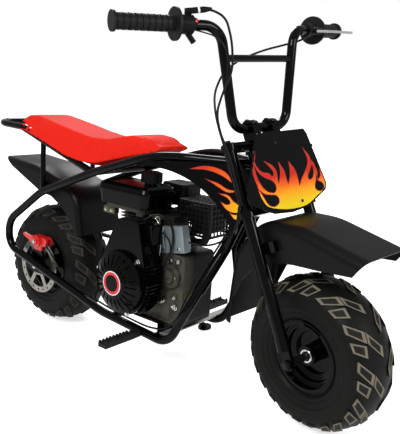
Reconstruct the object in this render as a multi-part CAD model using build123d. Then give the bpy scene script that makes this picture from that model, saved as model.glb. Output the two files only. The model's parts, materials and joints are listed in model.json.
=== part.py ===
from build123d import *
from math import asin, atan2, cos, degrees, pi, radians, sin, sqrt, tan
import os

os.makedirs("parts", exist_ok=True)

# Small off-road minibike. Millimetres. The pieces are drawn with the bike upright:
# +X forward, +Y to the rider's left, +Z up, and the origin in the middle of the rear
# axle. At the end the whole bike leans over onto its side stand.

# Wheels and stance
WHEELBASE = 912.0
TYRE_R = 178.0
TYRE_W = 138.0
CROWN_R = 105.0
LUG_H = 8.0
LUG_STEPS = 15
RIM_R = 76.0
RIM_W = 104.0
RIM_FLANGE_R = 84.0
RIM_WALL = 3.0
AXLE_R = 6.0
HUB_R = 22.0
HUB_HALF = 42.0
LEAN = 8.0
STEER_REST = -9.0

# Clearances
RUN_FIT = 0.05
SEAT_GAP = 0.3

# Brake and drive
ROTOR_R = 82.0
ROTOR_Y = -80.5
ROTOR_T = 3.0
CHAIN_PITCH = 12.7
REAR_TEETH = 44
FRONT_TEETH = 10
SPROCKET_Y = 80.5
SPROCKET_T = 3.0
ROLLER_R = 3.9
LINK_HALF_H = 5.0
LINK_T = 1.4
CHAIN_HALF = 4.6

# Steering
RAKE = 24.0
FORK_OFFSET = 25.0
LEG_Y = 102.0
LEG_R = 14.0
FENDER_ROOM = 162.0
HEAD_LENGTH = 134.0
HEAD_R = 19.0
STEM_R = 12.7
CUP_R = 23.0
CUP_H = 5.0
CLAMP_H = 14.0
CLAMP_LEG_R = 20.0

# Frame
TUBE_R = 11.1
LOOP_Y = 106.0
DOWN_R = 14.0
DOWN_HEAD_Y = 21.0
LOWER_SLOPE = 0.2264
DROP_IN = 87.0
DROP_T = 5.0

# Seat and fenders
SEAT_RAIL_R = 9.5
SEAT_RAIL_Y = 92.0
FENDER_HALF = 80.0
FENDER_WALL = 3.0

# Engine
CRANK_BACK = 485.4
CRANK_Z = 72.0
CASE_RIGHT = -96.0
CASE_LEFT = 44.0
RECOIL_R = 79.0

# Handlebar
BAR_R = 11.1
BAR_RISE = 45.0
GRIP_R = 17.0
GRIP_IN = 218.0
GRIP_OUT = 346.0
FLANGE_R = 34.0

rake_sin = sin(radians(RAKE))
rake_cos = cos(radians(RAKE))
crank_x = WHEELBASE - CRANK_BACK
crank = (crank_x, CRANK_Z)
head_low_w = TYRE_R + FENDER_ROOM
head_high_w = head_low_w + HEAD_LENGTH


def fork_point(u, v, w):
    """A point from the fork's own axes: u forward, v left, w up along the steering."""
    return Vector(WHEELBASE + u * rake_cos - w * rake_sin, v, u * rake_sin + w * rake_cos)


def fork_plane(u, v, w):
    """A plane square to the steering axis, its X forward and its Z up the axis."""
    return Plane(origin=fork_point(u, v, w), x_dir=(rake_cos, 0, rake_sin), z_dir=(-rake_sin, 0, rake_cos))


def fork_block(u, v, w):
    """A block lined up with the fork's own axes."""
    plane = fork_plane((u[0] + u[1]) / 2, (v[0] + v[1]) / 2, w[0])
    return extrude(plane * Rectangle(u[1] - u[0], v[1] - v[0]), w[1] - w[0])


def rod(start, end, radius):
    """A round bar between two points."""
    start, end = Vector(start), Vector(end)
    run = end - start
    return extrude(Plane(origin=start, z_dir=run) * Circle(radius), run.length)


def tube(points, radii, radius):
    """A round bar along straight runs joined by tangent arcs."""
    path = FilletPolyline(*points, radius=radii)
    return sweep(Plane(origin=path @ 0, z_dir=path % 0) * Circle(radius), path=path)


def cable(points, radius):
    """A cable along runs joined by arcs, each arc as large as the runs beside it allow."""
    points = [Vector(p) for p in points]
    radii = []
    for a, b, c in zip(points, points[1:], points[2:]):
        turn = radians((b - a).get_angle(c - b))
        radii.append(0.45 * min((b - a).length, (c - b).length) / tan(turn / 2))
    length = FilletPolyline(*points, radius=radii).length
    shape = tube(points, radii, radius)
    print("cable", round(length), "mm, volume share", round(shape.volume / (pi * radius ** 2 * length), 3),
          "radii", [round(r) for r in radii])
    return shape


def box(x, y, z):
    """A block from its low and high place along each axis."""
    size = (x[1] - x[0], y[1] - y[0], z[1] - z[0])
    return Pos((x[0] + x[1]) / 2, (y[0] + y[1]) / 2, (z[0] + z[1]) / 2) * Box(*size)


def side_plane(centre, y):
    """A plane seen from the bike's right side: its X forward, its Y up, round centre."""
    return Plane(origin=(centre[0], y, centre[1]), x_dir=(1, 0, 0), z_dir=(0, -1, 0))


def side_sketch(sketch, centre, low, high):
    """A sketch drawn as seen from the right side, made solid from low to high along Y."""
    return extrude(side_plane(centre, high) * sketch, high - low)


def side_plate(outline, low, high, centre=(0, 0)):
    """An outline of (x, z) points round centre, made solid from low to high along Y."""
    return side_sketch(make_face(Polyline(*outline, close=True)), centre, low, high)


def ring_y(centre, radius, bore, low, high):
    """A washer about a Y axis through centre, from low to high along Y."""
    disc = Circle(radius)
    if bore > 0:
        disc -= Circle(bore)
    return side_sketch(disc, centre, low, high)


def turned(outline, centre):
    """A solid of revolution about a Y axis, from an outline of (y, radius) points."""
    x, z = centre
    face = make_face(Polyline(*[(x, y, z + r) for y, r in outline], close=True))
    return revolve(face, Axis((x, 0, z), (0, 1, 0)))


def spokes(count, inner, outer, width, start=0.0):
    """Like bars from inner to outer radius, spread round a sketch's middle."""
    bar = Pos((inner + outer) / 2, 0) * Rectangle(outer - inner, width)
    return Sketch() + [Rot(0, 0, start + 360 / count * i) * bar for i in range(count)]


def holes(count, radius, hole_r, start=0.0):
    """Like round holes on a circle."""
    return Sketch() + [Rot(0, 0, start + 360 / count * i) * Pos(radius, 0) * Circle(hole_r)
                       for i in range(count)]


def belt(ends, low, high):
    """A solid whose side view is the belt line round some circles of x, z and radius."""
    edges = [(Pos(x, z) * Circle(r)).edge() for x, z, r in ends]
    return side_sketch(make_hull(edges), (0, 0), low, high)


def inset(corners, wall):
    """A line's corners moved to its right-hand side by wall, so the new line is parallel."""
    moved = []
    for i, (x, z) in enumerate(corners):
        before = corners[max(i - 1, 0)]
        after = corners[min(i + 1, len(corners) - 1)]
        here = Vector(x, z, 0)
        into = (here - Vector(*before, 0)) if i > 0 else (Vector(*after, 0) - here)
        out = (Vector(*after, 0) - here) if i < len(corners) - 1 else into
        a, b = into.normalized(), out.normalized()
        normal = Vector(a.Y + b.Y, -(a.X + b.X), 0).normalized()
        spot = here + normal * (wall / normal.dot(Vector(a.Y, -a.X, 0)))
        moved.append((spot.X, spot.Y))
    return moved


def mirrored(shape):
    """The same piece on the bike's other side."""
    return mirror(shape, Plane.XZ)


def both(shape):
    """A piece and its like on the other side, as two solids of one node."""
    return Compound([shape, mirrored(shape)])


pieces = {}
steered = {}


# Tyres

def carcass():
    """The tyre's body under its lugs, about the Y axis through the origin."""
    bead_y = RIM_W / 2 - RIM_WALL - SEAT_GAP
    crown_r = CROWN_R - LUG_H
    top = TYRE_R - LUG_H
    edge_y = TYRE_W * 0.34
    edge_r = top - crown_r + sqrt(crown_r ** 2 - edge_y ** 2)
    side = (TYRE_W / 2 - 3, (RIM_R + TYRE_R) / 2 + 4)
    right = ThreePointArc((-edge_y, edge_r), (0, top), (edge_y, edge_r))
    wall = ThreePointArc(right @ 1, side, (bead_y, RIM_FLANGE_R + 1))
    bead_r = RIM_R + SEAT_GAP
    base = Polyline(wall @ 1, (bead_y, bead_r), (-bead_y, bead_r), (-bead_y, RIM_FLANGE_R + 1))
    other = ThreePointArc(base @ 1, (-side[0], side[1]), right @ 0)
    section = make_face([right, wall, *base.edges(), other])
    return revolve(Plane(origin=(0, 0, 0), x_dir=(0, 1, 0), z_dir=(1, 0, 0)) * section, Axis.Y)


# Lugs of one side: middle's y, place in the step, outline along the rolling way and across.
# The long one starts at the crown and sweeps back; the short one stands on the shoulder.
LUGS = [
    (16, 0.0, [(12, -19), (1, -21), (-13, 8), (-10, 21), (4, 20), (0, 8)]),
    (50, 0.55, [(10, -14), (-4, -15), (-12, 12), (3, 14)]),
]


def lug(y, turn, outline):
    """A flat-topped rubber block that stands on the tread at y, turn degrees round."""
    lean = asin(y / CROWN_R)
    top = TYRE_R - CROWN_R + CROWN_R * cos(lean)
    a = radians(turn)
    outward = (sin(a) * cos(lean), sin(lean), cos(a) * cos(lean))
    plane = Plane(origin=(top * sin(a), y, top * cos(a)), x_dir=(cos(a), 0, -sin(a)), z_dir=outward)
    return extrude(plane * make_face(Polyline(*outline, close=True)), -LUG_H - 5)


def tyre():
    """A low-pressure off-road tyre with its lugs, about the origin."""
    blocks = []
    for step in range(LUG_STEPS):
        for y, place, outline in LUGS:
            turn = 360 / LUG_STEPS
            blocks.append(lug(y, turn * (step + place), outline))
            across = [(along, -over) for along, over in reversed(outline)]
            blocks.append(lug(-y, turn * (step + place + 0.5), across))
    return carcass().fuse(*blocks)


# Rims: two pressed halves with steps down to the hub, which runs on the axle.
# Each step of a half is y from the middle and radius.
RIM_STEPS = [(RIM_W / 2, RIM_R - RIM_WALL), (34, RIM_R - RIM_WALL), (30, 64), (20, 62), (16, 50), (7, 48),
             (5, HUB_R), (HUB_HALF, HUB_R), (HUB_HALF, AXLE_R + RUN_FIT)]


def rim():
    """A pressed steel rim with its hub, about the origin."""
    bed = RIM_W / 2 - RIM_WALL
    seat = [(-RIM_W / 2, RIM_FLANGE_R), (-bed, RIM_FLANGE_R), (-bed, RIM_R), (bed, RIM_R),
            (bed, RIM_FLANGE_R), (RIM_W / 2, RIM_FLANGE_R)]
    other = [(-y, r) for y, r in reversed(RIM_STEPS)]
    return turned(seat + RIM_STEPS + other, (0, 0))


one_tyre = tyre()
one_rim = rim()
pieces["rear_tyre"] = one_tyre
pieces["rear_rim"] = one_rim
steered["front_tyre"] = Pos(WHEELBASE, 0, 0) * one_tyre
steered["front_rim"] = Pos(WHEELBASE, 0, 0) * one_rim

# Brake rotor: a drilled ring on spokes, and its carrier on the hub
rotor_in = ROTOR_Y + ROTOR_T / 2
rotor_out = ROTOR_Y - ROTOR_T / 2
RING_W = 17.0
ring = Circle(ROTOR_R) - Circle(ROTOR_R - RING_W) - holes(20, ROTOR_R - RING_W / 2, 3.2)
ring += spokes(6, HUB_R, ROTOR_R - RING_W + 2, 13)
ring += Circle(HUB_R + 8)
rotor = side_sketch(ring - Circle(AXLE_R + RUN_FIT), (0, 0), rotor_out, rotor_in)
rotor += ring_y((0, 0), HUB_R + 4, AXLE_R + RUN_FIT, rotor_in, -HUB_HALF - SEAT_GAP)
pieces["brake_rotor"] = rotor


# Chain drive: two toothed sprockets and one closed loop of links round them

def pitch_radius(teeth):
    """The radius on which a chain's pins lie."""
    return CHAIN_PITCH / (2 * sin(pi / teeth))


def toothed(teeth):
    """A sprocket's outline: a trapezoid tooth between each two pins."""
    rim_r = pitch_radius(teeth)
    outline = []
    for i in range(teeth):
        for share, radius in ((0.28, -ROLLER_R - 0.6), (0.44, 2.4), (0.56, 2.4), (0.72, -ROLLER_R - 0.6)):
            a = 2 * pi * (i + share) / teeth
            outline.append(((rim_r + radius) * cos(a), (rim_r + radius) * sin(a)))
    return make_face(Polyline(*outline, close=True))


rear_pin_r = pitch_radius(REAR_TEETH)
front_pin_r = pitch_radius(FRONT_TEETH)
sprocket_in = SPROCKET_Y - SPROCKET_T / 2
sprocket_out = SPROCKET_Y + SPROCKET_T / 2
plate = toothed(REAR_TEETH) - Circle(AXLE_R + RUN_FIT)
plate -= holes(6, 56, 15, 30)
sprocket = side_sketch(plate, (0, 0), sprocket_in, sprocket_out)
sprocket += ring_y((0, 0), HUB_R + 4, AXLE_R + RUN_FIT, HUB_HALF + SEAT_GAP, sprocket_in)
pieces["rear_sprocket"] = sprocket

CLUTCH_R = 34.0
clutch = ring_y(crank, CLUTCH_R, 0, CASE_LEFT + SEAT_GAP, 70) + ring_y(crank, 14, 0, 70, SPROCKET_Y + 6)
front_teeth = side_sketch(toothed(FRONT_TEETH), crank, sprocket_in, sprocket_out)
pieces["clutch"] = clutch + front_teeth


def chain_line(extra):
    """The chain's belt line at a distance outside its pins."""
    return [(0, 0, rear_pin_r + extra), (*crank, front_pin_r + extra)]


def chain_pins():
    """Pins at the chain's pitch along both straight runs, clear of the teeth that turn."""
    centres = sqrt(crank_x ** 2 + CRANK_Z ** 2)
    slope = atan2(CRANK_Z, crank_x)
    narrowing = asin((rear_pin_r - front_pin_r) / centres)
    straight = centres * cos(narrowing)
    pins = []
    pin_half = CHAIN_HALF + 0.6
    for side in (-1, 1):
        normal = slope + side * (pi / 2 - narrowing)
        heading = slope - side * narrowing
        run = 3 * CHAIN_PITCH
        while run < straight - CHAIN_PITCH:
            x = rear_pin_r * cos(normal) + run * cos(heading)
            z = rear_pin_r * sin(normal) + run * sin(heading)
            bar = Rot(0, 0, degrees(heading)) * Rectangle(1.5 * ROLLER_R, 1.5 * ROLLER_R)
            pins.append(side_sketch(bar, (x, z), SPROCKET_Y - pin_half, SPROCKET_Y + pin_half))
            run += CHAIN_PITCH
    return pins


band = belt(chain_line(LINK_HALF_H), SPROCKET_Y - CHAIN_HALF, SPROCKET_Y + CHAIN_HALF)
band -= belt(chain_line(-LINK_HALF_H), SPROCKET_Y - CHAIN_HALF, SPROCKET_Y + CHAIN_HALF)
plate_in = CHAIN_HALF - LINK_T
band -= belt(chain_line(2 * LINK_HALF_H), SPROCKET_Y - plate_in, SPROCKET_Y + plate_in)
pieces["chain"] = band.fuse(*chain_pins())

# Frame loops: back from the head, down round the wheel, forward under the engine
# and up to the down tubes. Each corner is x, z and the radius of its bend.
top_bend = (WHEELBASE - 427, 394)
rear_bend = (40, 232)
mid_rise = 7.0
mid_bend = ((top_bend[0] + rear_bend[0]) / 2, (top_bend[1] + rear_bend[1]) / 2 + mid_rise)
tail_low = (-114, 44)
low_knee_x = WHEELBASE - 602
low_knee = (low_knee_x, tail_low[1] - LOWER_SLOPE * (low_knee_x - tail_low[0]))
front_low = (WHEELBASE - 360, -69)
front_high = (WHEELBASE - 302, 36)
LOOP_CORNERS = [
    (*top_bend, 300),
    (*mid_bend, 150),
    (*rear_bend, 180),
    (-113, 122, 66),
    (*tail_low, 48),
    (*low_knee, 300),
    (*front_low, 60),
    (*front_high, 60),
]
loop_radii = [r for _, _, r in LOOP_CORNERS]
down_knee = Vector(WHEELBASE - 264, -DOWN_HEAD_Y - 2, 180)
head_end = fork_point(-FORK_OFFSET - 6, -DOWN_HEAD_Y, head_high_w - 30)
loop_points = [head_end] + [Vector(x, -LOOP_Y, z) for x, z, _ in LOOP_CORNERS]
loop_end = loop_points[-1] + (down_knee - loop_points[-1]) * 0.3
loop_points.append(loop_end)
head_low = fork_point(-FORK_OFFSET, 0, head_low_w)
head_top = fork_point(-FORK_OFFSET, 0, head_high_w)
loop = tube(loop_points, loop_radii, TUBE_R) - rod(head_low, head_top, HEAD_R + SEAT_GAP)
loop_clear = tube(loop_points, loop_radii, TUBE_R + SEAT_GAP)
both_clear = loop_clear + mirrored(loop_clear)
pieces["frame_loop_right"] = loop
pieces["frame_loop_left"] = mirrored(loop)


def lower_line(x):
    """The height of the loops' lower run at x, before its front bend."""
    if x < low_knee[0]:
        return tail_low[1] - LOWER_SLOPE * (x - tail_low[0])
    share = (x - low_knee[0]) / (front_low[0] - low_knee[0])
    return low_knee[1] + share * (front_low[1] - low_knee[1])


# Head tube with its bearing cups, and the two down tubes that open out from it
down_top = fork_point(-FORK_OFFSET - 8, -DOWN_HEAD_Y, head_low_w + 55)
down = tube([loop_end, down_knee, down_top], [60.0], DOWN_R)
down_clear = tube([loop_end, down_knee, down_top], [60.0], DOWN_R + SEAT_GAP)
head = rod(head_low, head_top, HEAD_R) + down + mirrored(down)
for low in (head_low_w, head_high_w - CUP_H):
    head += extrude(fork_plane(-FORK_OFFSET, 0, low) * Circle(CUP_R), CUP_H)
head -= extrude(fork_plane(-FORK_OFFSET, 0, head_low_w - 1) * Circle(STEM_R + RUN_FIT), HEAD_LENGTH + 2)
pieces["head_tube"] = head

# Engine plate on pads over two cross tubes, all one weldment between the loops
CROSS_R = 9.0
PLATE_HALF = 92.0
PLATE_T = 5.0
PLATE_LIFT = 16.0
cross_places = [(x, lower_line(x)) for x in (crank_x - 80, crank_x + 76)]
plate_low = max(z for x, z in cross_places) + PLATE_LIFT
engine_base = plate_low + PLATE_T
plate = box((crank_x - PLATE_HALF, crank_x + PLATE_HALF), (-84, 84), (plate_low, engine_base))
for x, z in cross_places:
    plate += box((x - 12, x + 12), (-80, 80), (z, plate_low))
    plate += rod((x, -LOOP_Y, z), (x, LOOP_Y, z), CROSS_R)
pieces["engine_plate"] = plate - both_clear

# Axle plates under the loops, with the rear axle through them
drop_top = lower_line(0) + TUBE_R + 22
DROP_OUTLINE = [(-56, 26), (-48, -10), (-20, -19), (26, -19), (60, -12), (68, 6), (34, 16), (28, drop_top),
                (-14, drop_top), (-22, 30)]
drop = side_plate(DROP_OUTLINE, -DROP_IN - DROP_T, -DROP_IN)
for x in (-42, 52):
    z = lower_line(x)
    drop += box((x - 4, x + 4), (-LOOP_Y + 2, -DROP_IN), (z - 4, z + 4))
drop -= ring_y((0, 0), AXLE_R + RUN_FIT, 0, -DROP_IN - DROP_T, -DROP_IN)
drop -= loop_clear
pieces["axle_plates"] = both(drop.solids().sort_by(SortBy.VOLUME)[-1])

NUT_R = 8.0
NUT_H = 6.0
plate_out = DROP_IN + DROP_T
axle = ring_y((0, 0), AXLE_R, 0, -plate_out - NUT_H - 2, plate_out + NUT_H + 2)
for side in (-1, 1):
    nut = sorted((side * (plate_out + 0.1), side * (plate_out + NUT_H)))
    spacer = sorted((side * (SPROCKET_Y + 1.8), side * (DROP_IN - 0.1)))
    axle += side_sketch(RegularPolygon(NUT_R, 6), (0, 0), *nut) + ring_y((0, 0), NUT_R, 0, *spacer)
pieces["rear_axle"] = axle

# Seat rail: two runs that rise to the rear and a bend behind the seat, on two struts
rail_front = (mid_bend[0] - 22, mid_bend[1] - 4)
rail_knee = (-70, 407)
rail_back = -205
rail_points = [
    (rail_front[0], -SEAT_RAIL_Y, rail_front[1]),
    (rail_knee[0], -SEAT_RAIL_Y, rail_knee[1]),
    (rail_back, -SEAT_RAIL_Y, rail_knee[1] + 4),
    (rail_back, SEAT_RAIL_Y, rail_knee[1] + 4),
    (rail_knee[0], SEAT_RAIL_Y, rail_knee[1]),
    (rail_front[0], SEAT_RAIL_Y, rail_front[1]),
]
rail = tube(rail_points, [80, 60, 60, 80], SEAT_RAIL_R)
rail += rod((rail_front[0] + 4, -LOOP_Y, rail_front[1]), (rail_front[0] + 4, LOOP_Y, rail_front[1]), CROSS_R)
STRUT_X = 30.0
STRUT_R = 7.5
rail_fall = (rail_knee[1] - rail_front[1]) / (rail_front[0] - rail_knee[0])
strut_top = rail_knee[1] - (STRUT_X - rail_knee[0]) * rail_fall
strut = rod((STRUT_X, -SEAT_RAIL_Y, rear_bend[1]), (STRUT_X, -SEAT_RAIL_Y, strut_top), STRUT_R)
FENDER_BOLT_Z = 255.0
strut += rod((STRUT_X, -SEAT_RAIL_Y, FENDER_BOLT_Z), (STRUT_X, -FENDER_HALF - SEAT_GAP, FENDER_BOLT_Z), 6)
pieces["seat_rail"] = rail + strut + mirrored(strut) - both_clear

# Seat: one moulded cushion with its skirt over the rails. Each section is x, its lower
# and upper z and its half width.
SEAT_SECTIONS = [
    (-186, 418, 428, 84),
    (-160, 406, 438, 108),
    (-40, 392, 440, 118),
    (60, 364, 424, 120),
    (140, 340, 410, 120),
    (205, 330, 402, 119),
    (262, 334, 404, 114),
    (340, 358, 421, 104),
    (405, 380, 424, 92),
    (452, 398, 410, 72),
]
seat_faces = []
for x, low, high, half in SEAT_SECTIONS:
    plane = Plane(origin=(x, 0, (low + high) / 2), x_dir=(0, 1, 0), z_dir=(1, 0, 0))
    seat_faces.append(plane * RectangleRounded(2 * half, high - low, (high - low) * 0.3))
seat = loft(seat_faces, ruled=True)
rail_top = SEAT_RAIL_R + SEAT_GAP + 0.6
under = [(rail_front[0], rail_front[1] + rail_top), (rail_knee[0], rail_knee[1] + rail_top),
         (-240, rail_knee[1] + 4 + rail_top), (-240, 300), (rail_front[0], 300)]
skirt_in = SEAT_RAIL_Y + SEAT_RAIL_R + SEAT_GAP
seat -= side_plate(under, -skirt_in, skirt_in)
seat -= both_clear
pieces["seat"] = seat.solids().sort_by(SortBy.VOLUME)[-1]


# Fenders

def round_wheel(places):
    """Places over a tyre, each an angle from straight ahead and a gap over the tread, as x, z."""
    return [((TYRE_R + gap) * cos(radians(a)), (TYRE_R + gap) * sin(radians(a))) for a, gap in places]


def fender(top_places, radii, skirt_places, edge_r):
    """A moulded fender about the origin: a curved top rounded over into two skirts.

    The first places give the top's line from its tip to its flap, the others the skirt's edge."""
    corners = round_wheel(top_places)
    low = -FENDER_HALF
    top = FilletPolyline(*[(x, low, z) for x, z in corners], radius=radii)
    edge = Polyline(top @ 1, *[(x, low, z) for x, z in round_wheel(skirt_places)], top @ 0)
    body = extrude(make_face(top.edges() + edge.edges()), 2 * FENDER_HALF, dir=(0, 1, 0))
    body = fillet(long_edges(body, top), edge_r)
    inner = inset(corners, FENDER_WALL)
    low += FENDER_WALL
    under = FilletPolyline(*[(x, low, z) for x, z in inner], radius=[r - FENDER_WALL for r in radii])
    a, b = Vector(*inner[0], 0), Vector(*inner[-1], 0)
    past = (a - Vector(*inner[1], 0)).normalized() * 20 + a
    beyond = (b - Vector(*inner[-2], 0)).normalized() * 20 + b
    floor = min(b.Y, a.Y) - 60
    side = Polyline(under @ 1, (beyond.X, low, beyond.Y), (beyond.X, low, floor), (past.X, low, floor),
                    (past.X, low, past.Y), under @ 0)
    hollow = extrude(make_face(under.edges() + side.edges()), 2 * (FENDER_HALF - FENDER_WALL), dir=(0, 1, 0))
    return body - fillet(long_edges(hollow, under), edge_r - FENDER_WALL)


def long_edges(body, line):
    """The edges of an extruded body that run along the line it was drawn from, on both sides."""
    middles = [(e @ 0.5) for e in line.edges()]
    return body.edges().filter_by(
        lambda e: any(abs((e @ 0.5).X - m.X) < 0.01 and abs((e @ 0.5).Z - m.Z) < 0.01 for m in middles))


FRONT_TOP = [(174.5, 51), (135, 105), (112.7, 138), (92.3, 118), (59.2, 127)]
FRONT_SKIRT = [(60.5, 82), (77.7, 45), (95.9, 36), (110.9, 38), (127.6, 42), (141, 40), (155, 36),
               (174.4, 26)]
FRONT_RADII = [120, 110, 220]
REAR_TOP = [(119.7, 176), (93.9, 119), (57, 115), (34.5, 43)]
REAR_SKIRT = [(38, 20), (43, 30), (54, 37), (64, 42), (77, 47), (89, 46), (103.5, 79), (116, 136)]
REAR_RADII = [400, 70]
steered["front_fender"] = Pos(WHEELBASE, 0, 0) * fender(FRONT_TOP, FRONT_RADII, FRONT_SKIRT, 22)
pieces["rear_fender"] = fender(REAR_TOP, REAR_RADII, REAR_SKIRT, 16)

# Brake caliper over the rotor: its body, a round pressure boss, the cable arm and a bracket
CALIPER_X = 12.0
caliper_z = ROTOR_R - 2
outer_y = rotor_out - 5
caliper = belt([(CALIPER_X - 22, caliper_z, 13), (CALIPER_X + 26, caliper_z, 13)],
               rotor_out - 12, rotor_in + 8)
caliper += side_sketch(RegularPolygon(17, 8), (CALIPER_X, caliper_z), rotor_out - 20, rotor_out - 12)
caliper += belt([(CALIPER_X, caliper_z, 9), (CALIPER_X - 48, caliper_z + 14, 5)],
                rotor_out - 25, rotor_out - 20)
caliper += box((CALIPER_X - 20, CALIPER_X + 14), (outer_y - 6, outer_y), (drop_top + SEAT_GAP, caliper_z))
caliper -= box((-80, 80), (rotor_out - 4, rotor_in + 3), (0, caliper_z + 8))
pieces["brake_caliper"] = caliper.solids().sort_by(SortBy.VOLUME)[-1]

# Side panels under the loops, bent in to the head as seen from above; their lower edge is an arch
PANEL_T = 3.0
PANEL_IN = 39.0
panel_out = LOOP_Y + TUBE_R + PANEL_T + 0.4
PANEL_PLAN = [(-487, panel_out), (-424, panel_out), (-207, PANEL_IN), (-158, PANEL_IN)]
plan = [(WHEELBASE + x, -y) for x, y in PANEL_PLAN]
plan += [(x, y + PANEL_T) for x, y in reversed(plan)]
strip = extrude(make_face(Polyline(*[(x, y, 200) for x, y in plan], close=True)), 220)
arch = ThreePointArc((-436, 366), (-322, 336), (-231, 232))
rest = Polyline(arch @ 1, (-196, 292), (-170, 328), (-207, 382), (-222, 394), (-332, 388), (-437, 378),
                (-487, 362), arch @ 0)
panel_face = make_face(arch.edges() + rest.edges())
side_panel = strip & side_sketch(panel_face, (WHEELBASE, 0), -panel_out, 0)
pieces["side_panels"] = both(side_panel)

# Footpegs: two toothed side bars with rungs between them, on brackets by the loops
PEG_R = 13.0
PEG_TEETH = 9
peg_x = crank_x + 34
peg_z = lower_line(peg_x)
peg_in = LOOP_Y + TUBE_R + 24
peg_out = peg_in + 98
teeth = [(-peg_in, 6.0)]
for i in range(PEG_TEETH):
    y = -peg_in - (i + 0.5) * (peg_out - peg_in) / PEG_TEETH
    teeth += [(y + 3, 6.0), (y + 1, 10.0), (y - 3, 10.0), (y - 5, 6.0)]
bar_face = make_face(Polyline(*teeth, (-peg_out, 6.0), (-peg_out, -6.0), (-peg_in, -6.0), close=True))
peg = box((peg_x - 9, peg_x + 9), (-peg_in, -LOOP_Y - TUBE_R - SEAT_GAP), (peg_z - 8, peg_z + 8))
for x in (peg_x - PEG_R, peg_x + PEG_R - 3):
    peg += extrude(Plane(origin=(x, 0, peg_z), x_dir=(0, 1, 0), z_dir=(1, 0, 0)) * bar_face, 3)
for i in range(4):
    y = -peg_in - i * (peg_out - peg_in - 4) / 3
    peg += box((peg_x - PEG_R, peg_x + PEG_R), (y - 4, y), (peg_z - 5, peg_z + 4))
pieces["footpegs"] = both(peg)

# Engine: crankcase, finned cylinder and head, and the cradle that carries the tank
TANK_LOW = 250.0
CYL_TILT = 65.0
CYL_R = 30.0
FIN_HALF = 42.0
case_top = CRANK_Z + 76
case = belt([(*crank, 70), (crank_x - 62, engine_base + 10, 10), (crank_x + 122, engine_base + 12, 12),
             (crank_x + 124, case_top - 12, 12), (crank_x, case_top - 8, 8)], -70, CASE_LEFT)
case += ring_y(crank, 66, 0, CASE_RIGHT, -70)
case += box((crank_x - 80, crank_x + 132), (-72, CASE_LEFT), (engine_base, engine_base + 9))
case += ring_y((crank_x + 96, CRANK_Z + 20), 30, 0, -78, CASE_LEFT + 6)
case += ring_y((crank_x + 96, CRANK_Z + 20), 16, 0, -86, -78)
for x, z in ((70, -50), (112, -54), (118, 62), (-40, 62)):
    case += ring_y((crank_x + x, CRANK_Z + z), 7, 0, -76, CASE_LEFT + 4)
case += ring_y(crank, 40, 0, CASE_LEFT - 8, CASE_LEFT)
cyl_dir = Vector(cos(radians(CYL_TILT)), 0, sin(radians(CYL_TILT)))
cyl_foot = Vector(crank_x, 0, CRANK_Z)


def cyl_plane(along):
    """A plane square to the cylinder's axis, at a distance from the crank."""
    return Plane(origin=cyl_foot + cyl_dir * along, x_dir=(0, 1, 0), z_dir=cyl_dir)


case += extrude(cyl_plane(40) * Circle(CYL_R), 96)
for i in range(5):
    case += extrude(cyl_plane(80 + 9 * i) * RectangleRounded(2 * FIN_HALF, 2 * FIN_HALF, 12), 3)
case += extrude(cyl_plane(122) * RectangleRounded(74, 56, 10), 14)
case += box((crank_x - 124, crank_x + 14), (-92, -18), (TANK_LOW - 14, TANK_LOW - SEAT_GAP))
case += box((crank_x - 40, crank_x - 16), (-68, -30), (CRANK_Z + 40, TANK_LOW - 14))
case += box((crank_x - 40, crank_x - 16), (-24, 64), (TANK_LOW - 10, TANK_LOW - SEAT_GAP))
pieces["engine_block"] = case

# Cooling shroud over the fan, with a louvred strip round its front and the switch box
BLOWER_OUT = -150.0
blower_in = CASE_RIGHT - SEAT_GAP
blower = belt([(*crank, 86), (crank_x - 16, 219, 10), (crank_x + 43, 220, 10)], BLOWER_OUT, blower_in)
blower += belt([(*crank, 90), (crank_x - 20, 216, 12), (crank_x + 47, 217, 12)], blower_in - 8, blower_in)
louvres = [Rot(0, 0, a) * Pos(88, 0) * Rectangle(10, 2.4) for a in range(-50, 50, 6)]
blower += side_sketch(Sketch() + louvres, crank, BLOWER_OUT + 6, blower_in - 8)
switch_box = box((crank_x + 48, crank_x + 80), (-132, blower_in), (172, 224))
blower += fillet(switch_box.edges().filter_by(Axis.Y), 5)
pieces["blower_housing"] = blower

# Recoil cover: a domed shell with radial slots
recoil_in = BLOWER_OUT - SEAT_GAP
RECOIL_SLOTS = 22
COVER_T = 3.0
dome = turned([(recoil_in, 0), (recoil_in, RECOIL_R), (recoil_in - 12, RECOIL_R - 1), (recoil_in - 24, 56),
               (recoil_in - 30, 32), (recoil_in - 30, 0)], crank)
hollow = turned([(recoil_in, 0), (recoil_in, RECOIL_R - COVER_T), (recoil_in - 11, RECOIL_R - COVER_T - 2),
                 (recoil_in - 21.5, 54), (recoil_in - 27, 30), (recoil_in - 27, 0)], crank)
slots = side_sketch(spokes(RECOIL_SLOTS, 40, 70, 5), crank, recoil_in - 32, recoil_in)
pieces["recoil_cover"] = dome - hollow - slots

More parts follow.
